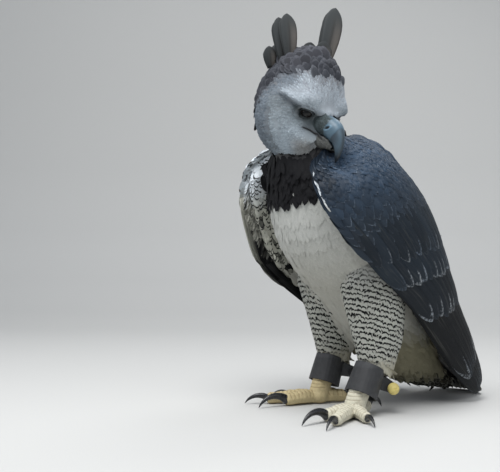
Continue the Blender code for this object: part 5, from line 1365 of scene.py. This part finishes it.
def build_tail():
    """Twelve tail feathers, and the coverts over and under their roots."""
    root, tip = place(*TAIL_ROOT), place(*TAIL_TIP)
    way = unit(tip - root)
    side0 = np.array((1.0, 0, 0))
    up = np.cross(side0, way)
    up = up if up[2] > 0 else -up
    reach = np.linalg.norm(tip - root)

    def fan(places, t, start, end, over, width, short=0.016):
        """Points of feathers that fan out from the root of the tail."""
        places = np.asarray(places, float)[:, None]
        turn = np.radians(4.5 * places)[..., None]
        run = way * np.cos(turn) + side0 * np.sin(turn)
        share = start + (end - start) * t[None]
        long = (reach - short * places**2) * share
        under = 0.0016 * 11 * 0.5 * np.abs(places)
        drop = 0.006 * places**2 * (1 - 0.8 * share) + 0.010 * 4 * share * (1 - share)
        base = root + side0 * (0.016 * places)[..., None] - up * under[..., None]
        path = base + run * long[..., None] - up * (drop - over * (1 - 0.4 * t[None]))[..., None]
        side = unit(side0 - run * dot(run, side0)) + 0 * path
        normal = unit(np.cross(side, run))
        normal = normal * np.where(normal[..., 2:] < 0, -1, 1)
        half = width / 2 * outline(t, 0.5, 0.80, 2.6)[None] + 0 * places
        return path, side, normal, half

    barred = plumage("tail_feather", tip=0.975, edge=1.05, grain=260.0, streak=70.0, barbs=0.4, bands=(3.2, 0.85),
                     Roughness=0.5, Specular_IOR_Level=0.35)
    rng = np.random.default_rng(41)
    t = np.array((0.0, 0.1, 0.2, 0.3, 0.4, 0.5, 0.6, 0.7, 0.78, 0.86, 0.92, 0.96, 0.985, 1.0))
    across = np.linspace(-1, 1, 7)
    path, side, normal, half = fan((np.arange(12) - 5.5) / 5.5, t, 0.0, 1.0, 0.0, 0.044)
    side = -side
    grid = vane_points(path, side, normal, half, across, 0.05, 0.25)
    ground = np.repeat(colours("back")[None], 12, 0) * 1.1
    rim = np.repeat(colours("grey")[None], 12, 0) * 0.9
    mesh = feather_mesh("tail_feathers", grid, t, across, ground, rim, np.zeros(12), rng.random(12))
    tail = add_object("tail_feathers", mesh)
    modify(tail, "SOLIDIFY", thickness=0.0009, offset=1.0)
    ready(tail, barred, "tail_feather", "tail")

    plain = bpy.data.materials["back_contour_feather"]
    t, across = BODY_T, WIDE
    rows = []
    for k, (start, over) in enumerate(((0.06, 0.0085), (0.13, 0.0075), (0.20, 0.0065), (0.27, 0.0055), (0.34, 0.0045))):
        count = 9 + k % 2
        places = np.linspace(-1.05, 1.05, count) + rng.normal(0, 0.03, count)
        rows.append(fan(places, t, start, start + 0.20, over, 0.030))
    path, side, normal, half = (np.concatenate(parts) for parts in zip(*rows))
    grid = vane_points(path, -side, normal, half, across, 0.15, 0.5)
    count = len(path)
    ground = np.repeat(colours("back")[None], count, 0)
    mesh = feather_mesh("tail_coverts", grid, t, across, ground, ground * 2.4, np.zeros(count), rng.random(count))
    ready(add_object("tail_coverts", mesh), plain, "tail_feather")


def build_crest():
    """The two raised lobes of the crest, feather by feather."""
    material = plumage("crest_feather", tip=0.95, edge=0.98, grain=420.0, streak=40.0, barbs=0.4, Roughness=0.85)
    t = np.array((0, 0.12, 0.25, 0.38, 0.5, 0.62, 0.72, 0.80, 0.87, 0.92, 0.96, 0.985, 1.0))
    across = np.linspace(-1, 1, 9)
    face = unit(1.0 * FACE - 0.3 * LEFT + 0.1 * CROWN)
    for sign, name in ((-1, "crest_left"), (1, "crest_right")):
        rng = np.random.default_rng(51 + sign)
        plump = 1.14 if sign < 0 else 0.90
        paths, sides, normals, halves = [], [], [], []
        for f0, s0, u0, f1, s1, u1, width in CREST_ROWS:
            share = u1 / 0.164
            root = on_head((f0, s0 * sign, u0))
            tip = on_head((f1, (s1 + CREST_LEAN[sign] * share) * sign, u1 + CREST_RAISE[sign] * share))
            for twin in range(3):
                lean = (0.0, 0.065, -0.060 if sign < 0 else -0.025)[twin] + (0.075 if sign < 0 else 0.025)
                lean = np.array(lean + rng.normal(0, 0.012))
                way = turned(tip - root, face, lean) * (1.0, 0.93, 0.90)[twin]
                side = unit(np.cross(face, way)) * -1
                normal = unit(np.cross(way, side))
                if normal @ face < 0:
                    side, normal = -side, -normal
                base = root - normal * 0.0014 * twin
                bow = 0.05 * np.linalg.norm(way)
                path = base + way * t[:, None] + normal * (bow * 4 * t * (1 - t))[:, None]
                paths.append(path)
                sides.append(np.broadcast_to(side, path.shape))
                normals.append(np.broadcast_to(normal, path.shape))
                halves.append(width / 2 * plump * (1.0, 0.94, 0.90)[twin] * outline(t, 0.50, 0.70, 2.4))
        path, side, normal, half = (np.stack(v) for v in (paths, sides, normals, halves))
        grid = vane_points(path, side, normal, half, across, 0.12, 0.3)
        count = len(path)
        # dark at the tip and on the right, browner and paler at the left and by the root
        rest = (1 - ease(0.45, 0.95, t))[None, :, None] * ease(0.5, -0.7, -across * np.sign(side[0, 0] @ LEFT))[None, None]
        rest = np.broadcast_to(rest, grid.shape[:3])
        shaft = np.exp(-((across / 0.12) ** 2))[None, None] * (1 - ease(0.6, 0.9, t))[None, :, None]
        tone = rng.uniform(0.88, 1.12, (count, 1, 1, 1))
        ground = blend(colours("crest") * 0.85 + 0 * grid, colours("crest_edge") * (1.15, 1.0, 0.85), rest) * tone
        ground = ground * (1 - 0.35 * shaft)[..., None]
        rim = ground * 1.12
        mesh = feather_mesh(f"{name}_feathers", grid, t, across, ground, rim, np.zeros(count), rng.random(count))
        crest = add_object(f"{name}_feathers", mesh)
        modify(crest, "SOLIDIFY", thickness=0.0006, offset=-1.0)
        ready(crest, material, "crest_feather", name)


# ---------------------------------------------------------------- face, bill and feet

def build_eyes():
    """Eyeballs with their iris, and the lids round them."""
    material, tree, shader = new_material("wet_eye", Roughness=0.15, IOR=1.376, Specular_IOR_Level=0.3, Coat_Weight=0.3,
                                          Coat_Roughness=0.02)
    # the eye's rings are stored by their distance from the middle of the pupil
    ring = add(tree, "ShaderNodeAttribute", attribute_name="Polar")
    ramp = add(tree, "ShaderNodeValToRGB", {0: ring.outputs["Fac"]})
    stops = ramp.color_ramp.elements
    stops[0].position, stops[0].color = 0.155, (0.002, 0.002, 0.002, 1)
    stops[1].position, stops[1].color = 0.30, (0.004, 0.004, 0.004, 1)
    for at, tone in ((0.165, colours("iris") * 0.7), (0.20, colours("iris")), (0.235, colours("iris") * 0.4)):
        stops.new(at).color = (*tone, 1)
    place_at = add(tree, "ShaderNodeTexCoord").outputs["Object"]
    fibres = add(tree, "ShaderNodeTexNoise", {"Vector": place_at, "Scale": 1400.0, "Detail": 2.0})
    value = add(tree, "ShaderNodeMapRange", {0: fibres.outputs[0], 3: 0.7, 4: 1.3})
    toned = add(tree, "ShaderNodeHueSaturation", {"Value": value.outputs[0], "Color": ramp.outputs[0]})
    tree.links.new(toned.outputs[0], shader.inputs["Base Color"])
    # bare lid skin: fine wrinkles about 0.8 mm apart, dark and slightly moist
    lid_skin = painted("lid_skin", ((0.0008, 0.30, 0.00025), (0.004, 0.2, 0.0002)), Roughness=0.55)
    for sign in (1, -1):
        side = SIDES[-sign]
        middle, outward, long_way, short_way = eye_axes(sign)
        bpy.ops.object.select_all(action="DESELECT")
        bpy.ops.mesh.primitive_uv_sphere_add(segments=48, ring_count=32, radius=EYE_RADIUS)
        eye = bpy.context.object
        eye.name = eye.data.name = f"eyeball_{side}"
        points = points_of(eye.data)
        polar = np.arccos(np.clip(points[:, 2] / EYE_RADIUS, -1, 1)) / np.pi
        # the cornea stands out over the iris
        points = points * (1 + 0.07 * np.exp(-((polar / 0.17) ** 2)))[:, None]
        turn = np.stack((long_way, short_way, outward), 1)
        set_points(eye.data, middle + points @ turn.T)
        layer = eye.data.attributes.new("Polar", "FLOAT", "POINT")
        layer.data.foreach_set("value", polar.astype(np.float32))
        only(eye)
        bpy.ops.object.shade_smooth()
        ready(eye, material, "eye", f"eye_{side}")

        count = 56
        angle = 2 * np.pi * np.arange(count) / count
        c, s = np.cos(angle), np.sin(angle)
        rings, tones = [], []
        upper = np.clip(s, 0, 1)
        # tone: the lid margin is dark bare skin; the darker valleys between the folds and the dimmed face colour
        # further out are painted shade
        for scale, rise, tone in ((0.93, -0.0004, 0.25), (0.97, 0.0010, 0.3), (1.08, 0.0018, 0.45), (1.20, 0.0017, 0.8),
                                  (1.30, 0.0009, 0.5), (1.42, 0.0016, 0.9), (1.56, 0.0008, 0.6), (1.80, 0.0, 0.9),
                                  (2.15, 0.0, 1.0)):
            flat = (long_way * (LID_HALF_WIDTH * scale * c)[:, None]
                    + short_way * (LID_HALF_HEIGHT * scale * s * (1 + 0.08 * upper))[:, None])
            far = EYE_RADIUS * 1.03 + rise
            high = np.sqrt(np.maximum(far**2 - (flat**2).sum(1), 0.0))
            ball = middle + flat + outward * high[:, None]
            skin_at = on_face(in_head(middle + flat + outward * EYE_RADIUS * 0.8), -0.0012 + rise)
            share = ease(1.15, 1.9, scale) * np.ones(count)
            rings.append(blend(ball, skin_at, share))
            tones.append(np.full(count, tone))
        grid = np.stack(rings)
        index = np.arange(len(rings) * count).reshape(len(rings), count)
        nxt = np.roll(index, -1, 1)
        quads = np.stack((index[:-1], nxt[:-1], nxt[1:], index[1:]), -1).reshape(-1, 4)
        if np.cross(grid[0, 1] - grid[0, 0], grid[1, 0] - grid[0, 0]) @ outward < 0:
            quads = quads[:, ::-1]
        mesh = mesh_of(f"lids_{side}", grid.reshape(-1, 3), quads)
        lids = add_object(f"lids_{side}", mesh)
        local = in_head(grid.reshape(-1, 3))
        base, _rim = head_markings(local)
        tones = np.concatenate(tones)
        dark = blend(np.broadcast_to(colours("lores") * 0.16, base.shape), base * 0.70, ease(0.6, 1.0, tones))
        paint(mesh, "Markings", dark, 1.0)
        modify(lids, "SUBSURF", levels=1, render_levels=1)
        ready(lids, lid_skin, "head_feather")


def build_bill():
    """Upper and lower half of the bill with the cere and the nostrils, and the corners of the mouth."""
    # horn of the bill: grown in layers, fine lengthwise grain, a low polish
    horn = painted("bill_keratin", ((0.0012, 0.16, 0.00008), (0.006, 0.30, 0.00012)), rough_from=(0.36, 0.56),
                   Specular_IOR_Level=0.4, IOR=1.54)
    for name, rows, node in (("bill_upper_horn", UPPER_BILL_ROWS, "bill_upper"),
                             ("bill_lower_horn", LOWER_BILL_ROWS, "bill_lower")):
        at = np.linspace(0, 1, 90)
        values = flow(rows, at)
        points = on_head(np.stack((values[:, 0], 0 * at, values[:, 1]), 1))
        rings = tube_rings(points, values[:, 2:], CROWN, 64, 2.2)
        obj = rings_object(name, rings)
        spots = points_of(obj.data)
        local = in_head(spots)
        f, r, u = local[:, 0], local[:, 1], local[:, 2]
        cere_edge = 0.1175 - 0.45 * np.maximum(-0.012 - u, 0) - 0.05 * np.abs(r)
        horny = ease(-0.0008, 0.0012, f - cere_edge)
        if node == "bill_lower":
            horny = ease(0.060, 0.066, f)
        tone = blend(np.broadcast_to(colours("cere"), local.shape), colours("bill"), horny)
        # the lower bill is the same horn darkened: painted shade under the upper bill
        if node == "bill_lower":
            tone = tone * 0.45
        # bristly skin of the lores runs on over the root of the bill
        root = ease(0.0965, 0.0905, f + 0.10 * (np.abs(r) < 0.006) + 0.0012 * np.sin(u * 1500))
        tone = blend(tone, colours("lores") * 0.9, 0.9 * root)
        line = np.exp(-(((f - cere_edge) / 0.0014) ** 2)) * (node == "bill_upper")
        tone = blend(tone, colours("cere") * 1.3, 0.4 * line)
        tip = ease(-0.030, -0.058, u) * (node == "bill_upper")
        tone = blend(tone, colours("bill_tip"), 0.9 * tip)
        # painted highlight along the culmen
        painted_highlight = np.exp(-(((np.abs(r) - 0.006) / 0.004) ** 2)) * ease(0.10, 0.115, f) * (1 - tip)
        tone = blend(tone, colours("cere") * 1.3, 0.45 * painted_highlight)
        if node == "bill_upper":
            step = 0.0007 * (1 - horny)
            normals = points_of(obj.data, "normal")
            nf, ns, nu = NOSTRIL_AT
            # a slit that rises forwards, in a pale rim, painted near black inside as shade in the nostril
            d = np.hypot(((f - nf) * 0.8 + (u - nu) * 0.6) / 0.0046, ((u - nu) * 0.8 - (f - nf) * 0.6) / 0.0022)
            hole = (1 - ease(0.7, 1.15, d)) * (np.abs(r) > 0.006)
            rim = np.exp(-(((d - 1.65) / 0.42) ** 2)) * (np.abs(r) > 0.006)
            spots = spots + normals * (step - 0.0035 * hole + 0.0005 * rim)[:, None]
            tone = blend(tone, colours("cere") * 2.1, 0.75 * rim)
            tone = blend(tone, np.array((0.004, 0.004, 0.005)), hole)
            set_points(obj.data, spots)
        paint(obj.data, "Markings", tone, 1.0)
        ready(obj, horn, "bill_horn", node)
    # the dark line of the gape runs back from the bill under the cheek
    gape = painted("gape_skin", ((0.0015, 0.3, 0.0001),), Roughness=0.5)
    for sign in (1, -1):
        at = np.linspace(0, 1, 24)
        spots = flow(MOUTH_ROWS, at) * np.array((1, sign, 1))
        points = blend(on_face(spots, -0.0006), on_head(spots), ease(0.076, 0.088, spots[:, 0]))
        width = 0.0016 * np.sin(np.pi * np.clip(at * 0.9 + 0.08, 0, 1)) ** 0.6
        rings = tube_rings(points, np.stack((width, width, width), 1), CROWN, 10)
        obj = rings_object(f"gape_{SIDES[-sign]}", rings)
        paint(obj.data, "Markings", np.array((0.010, 0.010, 0.011)), 1.0)
        ready(obj, gape, "bill_horn")


def build_feet():
    """Scaled tarsi and toes."""
    # reptile-like scales: hard, dry, a slight polish on the scutes
    scales = painted("scaled_foot", ((0.0009, 0.22, 0.00016), (0.0032, 0.38, 0.0005), (0.014, 0.42, 0.0)),
                     rough_from=(0.48, 0.7), Specular_IOR_Level=0.35)
    for sign in (1, -1):
        side = SIDES[sign]
        foot = fuse([copy_of(f"foot_{side}", "f"), copy_of(f"tarsus_{side}", "t")], f"scaled_leg_{side}", 0.0014, 5)
        points, normals = points_of(foot.data), points_of(foot.data, "normal")
        lift, gap = np.zeros(len(points)), np.zeros(len(points))
        start = leg_point(sign, 0.016)
        best = np.full(len(points), 9.0)
        for turn, length, thick, thin, scutes, *_claw in TOES.values():
            way = toe_way(sign, turn)
            flat = points - start
            flat[:, 2] = 0
            share = (flat @ way) / length
            off = np.linalg.norm(flat - way * (share * length)[:, None], axis=1)
            mine = (share > 0.22) & (share < 1.02) & (off < 0.016) & (off < best)
            best = np.where(mine, off, best)
            top = ease(-0.1, 0.5, normals[:, 2])
            phase = share * scutes + 0.16 * np.sin(points[:, 0] * 900) * np.sin(points[:, 1] * 700)
            saw = phase - np.floor(phase)
            ridge = np.sin(np.pi * np.clip(saw * 1.06, 0, 1)) ** 0.5
            lift = np.where(mine, top * (ridge - 0.5) * 0.0013, lift)
            gap = np.where(mine, top * (1 - ease(0.0, 0.22, np.minimum(saw, 1 - saw))), gap)
        height = points[:, 2]
        high = ease(0.024, 0.034, height)
        ring = (height / 0.0065) % 1.0
        front = ease(-0.1, 0.4, normals @ heading(0, 1, 0))
        lift = lift + high * front * 0.0009 * (np.sin(np.pi * ring) ** 0.5 - 0.5)
        gap = np.maximum(gap, high * front * (1 - ease(0.0, 0.2, np.minimum(ring, 1 - ring))))
        lift = np.where(height < 0.0035, np.minimum(lift, 0), lift)
        points = points + normals * lift[:, None]
        points[:, 2] = np.maximum(points[:, 2], 0.0)
        set_points(foot.data, points)
        base = colours(f"foot_{side}")
        tone = np.broadcast_to(base, points.shape) * (1 + 0.12 * ease(0.02, 0.05, height))[:, None]
        tone = blend(tone, base * np.array((0.42, 0.34, 0.28)), 0.75 * gap)
        tone = blend(tone, base * np.array((0.6, 0.5, 0.42)), 0.6 * ease(0.006, 0.0, height))
        paint(foot.data, "Markings", tone, 1.0)
        ready(foot, scales, "foot_scale", f"foot_{side}", f"tarsus_{side}")


def build_claws():
    """Eight long curved claws."""
    # claw horn: dense black keratin, polished by wear, greyer at the root
    horn = painted("claw_keratin", ((0.0010, 0.25, 0.00006), (0.008, 0.35, 0.0001)), rough_from=(0.20, 0.36), IOR=1.54,
                   Specular_IOR_Level=0.55)
    for sign in (1, -1):
        for name, (turn, length, _thick, thin, _n, reach, wide, tall, bend) in TOES.items():
            way, up = toe_way(sign, turn), np.array((0, 0, 1.0))
            start = leg_point(sign, 0.016)
            start[2] = thin * 0.92
            start = start + way * (length - 0.004)
            steps = 8
            low, high = -20.0, 90.0
            for _ in range(40):
                first = (low + high) / 2
                end = start[2] + sum(
                    math.sin(math.radians(first - bend * i / steps)) * reach / steps for i in range(steps)
                )
                low, high = (low, first) if end > 0.0016 else (first, high)
            coarse = [start]
            for i in range(steps):
                pitch = math.radians(first - bend * i / steps)
                coarse.append(coarse[-1] + (way * math.cos(pitch) + up * math.sin(pitch)) * (reach / steps))
            at = np.linspace(0, 1, steps + 1)
            share = np.linspace(0, 1, 34)
            points = flow(np.column_stack((at, np.array(coarse))), share)
            taper = (1 - share) ** 0.75 * 0.94 + 0.05
            size_at = np.stack((wide * taper, tall * taper, tall * taper * 0.9), 1)
            rings = tube_rings(points, size_at, up + way * 0.6, sizes().claw_sides, 2.3)
            obj = rings_object(f"claw_horn_{SIDES[sign]}_{name}", rings)
            spots = points_of(obj.data)
            root = np.linalg.norm(spots - start, axis=1)
            tone = blend(np.broadcast_to(colours("claw") * 3.2, spots.shape), colours("claw"), ease(0.002, 0.018, root))
            paint(obj.data, "Markings", tone, 1.0)
            ready(obj, horn, "claw_horn", f"claw_{SIDES[sign]}_{name}")


def build_anklets():
    """Leather anklets, the button on the left one and the eyelet on the right one."""
    # vegetable-tanned leather, dyed through and greased: pebbled grain near 1 mm, scuffed paler in patches
    leather = painted("greased_leather", ((0.0011, 0.22, 0.00022), (0.009, 0.45, 0.0004)), rough_from=(0.42, 0.72))
    # knotted raw hide: dyed yellow, fibrous
    hide = painted("knotted_hide", ((0.0009, 0.25, 0.0002), (0.004, 0.35, 0.0004)), rough_from=(0.5, 0.75))
    steel = painted("blackened_steel", ((0.0006, 0.3, 0.00003),), rough_from=(0.3, 0.5), Metallic=1.0)
    for side in ("left", "right"):
        cuff = fuse([copy_of(f"anklet_{side}", "c")], f"leather_anklet_{side}", 0.0011, 3)
        points = points_of(cuff.data)
        tone = np.broadcast_to(colours("leather"), points.shape).copy()
        edge = ease(0.088, 0.0925, points[:, 2]) + ease(0.046, 0.041, points[:, 2])
        tone = blend(tone, colours("leather") * 2.0, 0.6 * np.clip(edge, 0, 1))
        paint(cuff.data, "Markings", tone, 1.0)
        ready(cuff, leather, "leather", f"anklet_{side}")
    button = fuse([copy_of("button_left", "b")], "hide_button_left", 0.0007, 3)
    points = points_of(button.data)
    middle = points.mean(0)
    swirl = np.sin(np.arctan2(points[:, 2] - middle[2], points[:, 0] - middle[0]) * 2
                   + np.linalg.norm(points - middle, axis=1) * 900)
    tone = np.broadcast_to(colours("button"), points.shape) * (1 + 0.10 * swirl)[:, None]
    paint(button.data, "Markings", tone, 1.0)
    ready(button, hide, "button", "button_left")
    eyelet = copy_of("eyelet_right", "steel_eyelet_right")
    modify(eyelet, "BEVEL", width=0.0003, segments=2)
    modify(eyelet, "SUBSURF", levels=1, render_levels=1)
    paint(eyelet.data, "Markings", np.array((0.05, 0.05, 0.052)), 1.0)
    eyelet.data.polygons.foreach_set("use_smooth", np.ones(len(eyelet.data.polygons), bool))
    ready(eyelet, steel, "blackened_steel", "eyelet_right")


# ---------------------------------------------------------------- stage

def build_stage():
    """Plain pale floor, soft studio light and the camera at the photograph's angle."""
    bpy.ops.object.select_all(action="DESELECT")
    bpy.ops.mesh.primitive_plane_add(size=1.0, location=(0, 0, 0))
    floor = bpy.context.object
    floor.name = "studio_floor"
    angle = math.radians(48)
    look = np.array((-math.sin(angle), math.cos(angle), 0))
    side = np.array((look[1], -look[0], 0))
    bend = [(-4.0, 0.0), (1.4, 0.0), (1.75, 0.03), (2.05, 0.14), (2.25, 0.34), (2.35, 0.62), (2.38, 1.0), (2.4, 3.2)]
    rings = []
    for far, up in bend:
        rings.append([look * far + side * s + np.array((0, 0, up - 0.0002)) for s in np.linspace(-4, 4, 9)])
    grid = np.array(rings)
    index = np.arange(grid.shape[0] * 9).reshape(-1, 9)
    quads = np.stack((index[:-1, :-1], index[:-1, 1:], index[1:, 1:], index[1:, :-1]), -1).reshape(-1, 4)
    bpy.data.meshes.remove(floor.data)
    floor = add_object("studio_floor", mesh_of("studio_floor", grid.reshape(-1, 3), quads))
    material, tree, shader = new_material("matt_backdrop_paper", Roughness=0.95, Specular_IOR_Level=0.1)
    place_at = add(tree, "ShaderNodeTexCoord").outputs["Object"]
    fibre = add(tree, "ShaderNodeTexNoise", {"Vector": place_at, "Scale": 300.0})
    tone = add(tree, "ShaderNodeMapRange", {0: fibre.outputs[0], 3: 0.97, 4: 1.03})
    toned = add(tree, "ShaderNodeHueSaturation", {"Value": tone.outputs[0], "Color": (*colours("floor"), 1)})
    tree.links.new(toned.outputs[0], shader.inputs["Base Color"])
    floor.data.materials.append(material)

    foot = place(0, 0, 0)
    distance, height, focal, u0, horizon = 1.9, 0.337, 988.0, 342.0, 240.0
    spot = foot + np.array((math.sin(angle) * distance, -math.cos(angle) * distance, height))
    to_foot = foot - spot
    turn = math.atan2(to_foot[0], to_foot[1]) + math.atan2(250 - u0, focal)
    way = Vector((math.sin(turn), math.cos(turn), math.tan(math.atan2(236 - horizon, focal))))
    data = bpy.data.cameras.new("photo_camera")
    data.sensor_width = 36.0
    data.lens = focal / 500 * 36
    data.clip_start = 0.05
    camera = add_object("photo_camera", data)
    camera.location = spot
    camera.rotation_euler = way.to_track_quat("-Z", "Y").to_euler()
    bpy.context.scene.camera = camera
    bpy.context.scene.view_settings.view_transform = "Standard"

    for name, azimuth, rise, far, wide, power in (
        ("key", 30, 62, 2.2, 1.6, 62.0), ("fill", 100, 25, 2.4, 2.0, 9.0), ("left", -35, 30, 2.4, 1.8, 9.0),
        ("rim", 200, 55, 2.2, 1.2, 14.0),
    ):
        a, e = math.radians(azimuth), math.radians(rise)
        at = Vector((math.sin(a) * math.cos(e), -math.cos(a) * math.cos(e), math.sin(e))) * far
        light = bpy.data.lights.new(f"{name}_light", "AREA")
        light.shape, light.size, light.energy = "DISK", wide, power
        lamp = add_object(f"{name}_light", light)
        lamp.location = at + Vector((0, 0, 0.35))
        lamp.rotation_euler = (-at).to_track_quat("-Z", "Y").to_euler()
    world = bpy.context.scene.world or bpy.data.worlds.new("soft_room")
    bpy.context.scene.world = world
    world.use_nodes = True
    tree = world.node_tree
    tree.nodes.clear()
    glow = add(tree, "ShaderNodeBackground", {0: (0.80, 0.86, 0.95, 1), 1: 0.45})
    add(tree, "ShaderNodeOutputWorld", {0: glow.outputs[0]})


# ---------------------------------------------------------------- operators

class EAGLE_OT_stage(bpy.types.Operator):
    """Add the floor, the lights and the camera."""

    bl_idname = "eagle.stage"
    bl_label = "Stage"

    def execute(self, context):
        build_stage()
        return {"FINISHED"}


class EAGLE_OT_skin(bpy.types.Operator):
    """Fuse the skin of head, body, thighs and wing arms."""

    bl_idname = "eagle.skin"
    bl_label = "Skin"

    def execute(self, context):
        build_skin()
        return {"FINISHED"}


class EAGLE_OT_head_coat(bpy.types.Operator):
    """Lay the feathers of face, crown and nape."""

    bl_idname = "eagle.head_coat"
    bl_label = "Head feathers"

    def execute(self, context):
        build_head_coat()
        build_bristles()
        return {"FINISHED"}


class EAGLE_OT_body_coat(bpy.types.Operator):
    """Lay the feathers of bib, breast, back, thighs and rump."""

    bl_idname = "eagle.body_coat"
    bl_label = "Body feathers"

    def execute(self, context):
        build_body_coat()
        return {"FINISHED"}


class EAGLE_OT_wings(bpy.types.Operator):
    """Lay the coverts and flight feathers of both wings."""

    bl_idname = "eagle.wings"
    bl_label = "Wing feathers"

    def execute(self, context):
        build_wings()
        build_lining()
        build_wing_edge()
        return {"FINISHED"}


class EAGLE_OT_tail(bpy.types.Operator):
    """Lay the tail feathers and their coverts."""

    bl_idname = "eagle.tail"
    bl_label = "Tail feathers"

    def execute(self, context):
        build_tail()
        return {"FINISHED"}


class EAGLE_OT_crest(bpy.types.Operator):
    """Raise the two lobes of the crest."""

    bl_idname = "eagle.crest"
    bl_label = "Crest"

    def execute(self, context):
        build_crest()
        return {"FINISHED"}


class EAGLE_OT_eyes(bpy.types.Operator):
    """Set the eyes and their lids."""

    bl_idname = "eagle.eyes"
    bl_label = "Eyes"

    def execute(self, context):
        build_eyes()
        return {"FINISHED"}


class EAGLE_OT_bill(bpy.types.Operator):
    """Shape the bill, the cere and the gape."""

    bl_idname = "eagle.bill"
    bl_label = "Bill"

    def execute(self, context):
        build_bill()
        return {"FINISHED"}


class EAGLE_OT_feet(bpy.types.Operator):
    """Shape the scaled tarsi and toes."""

    bl_idname = "eagle.feet"
    bl_label = "Feet"

    def execute(self, context):
        build_feet()
        return {"FINISHED"}


class EAGLE_OT_claws(bpy.types.Operator):
    """Shape the eight claws."""

    bl_idname = "eagle.claws"
    bl_label = "Claws"

    def execute(self, context):
        build_claws()
        return {"FINISHED"}


class EAGLE_OT_anklets(bpy.types.Operator):
    """Shape the leather anklets, the button and the eyelet."""

    bl_idname = "eagle.anklets"
    bl_label = "Anklets"

    def execute(self, context):
        build_anklets()
        return {"FINISHED"}


OPERATORS = (
    EAGLE_OT_stage, EAGLE_OT_skin, EAGLE_OT_head_coat, EAGLE_OT_body_coat, EAGLE_OT_wings, EAGLE_OT_tail,
    EAGLE_OT_crest, EAGLE_OT_eyes, EAGLE_OT_bill, EAGLE_OT_feet, EAGLE_OT_claws, EAGLE_OT_anklets,
)


class EAGLE_PT_panel(bpy.types.Panel):
    """The pieces of the eagle, in the order in which they are made."""

    bl_label = "Harpy eagle"
    bl_idname = "EAGLE_PT_panel"
    bl_space_type = "VIEW_3D"
    bl_region_type = "UI"
    bl_category = "Eagle"

    def draw(self, context):
        for operator in OPERATORS:
            self.layout.operator(operator.bl_idname)
        for group in (context.scene.eagle_sizes, context.scene.eagle_colours):
            for name in group.__annotations__:
                self.layout.prop(group, name)


CLASSES = (EagleSizes, EagleColours, *OPERATORS, EAGLE_PT_panel)


def register():
    for kind in CLASSES:
        bpy.utils.register_class(kind)
    bpy.types.Scene.eagle_sizes = PointerProperty(type=EagleSizes)
    bpy.types.Scene.eagle_colours = PointerProperty(type=EagleColours)


def unregister():
    del bpy.types.Scene.eagle_colours
    del bpy.types.Scene.eagle_sizes
    for kind in reversed(CLASSES):
        bpy.utils.unregister_class(kind)


def main():
    register()
    bpy.ops.eagle.stage()
    bpy.ops.eagle.skin()
    bpy.ops.eagle.head_coat()
    bpy.ops.eagle.body_coat()
    bpy.ops.eagle.wings()
    bpy.ops.eagle.tail()
    bpy.ops.eagle.crest()
    bpy.ops.eagle.eyes()
    bpy.ops.eagle.bill()
    bpy.ops.eagle.feet()
    bpy.ops.eagle.claws()
    bpy.ops.eagle.anklets()


if __name__ == "__main__":
    main()
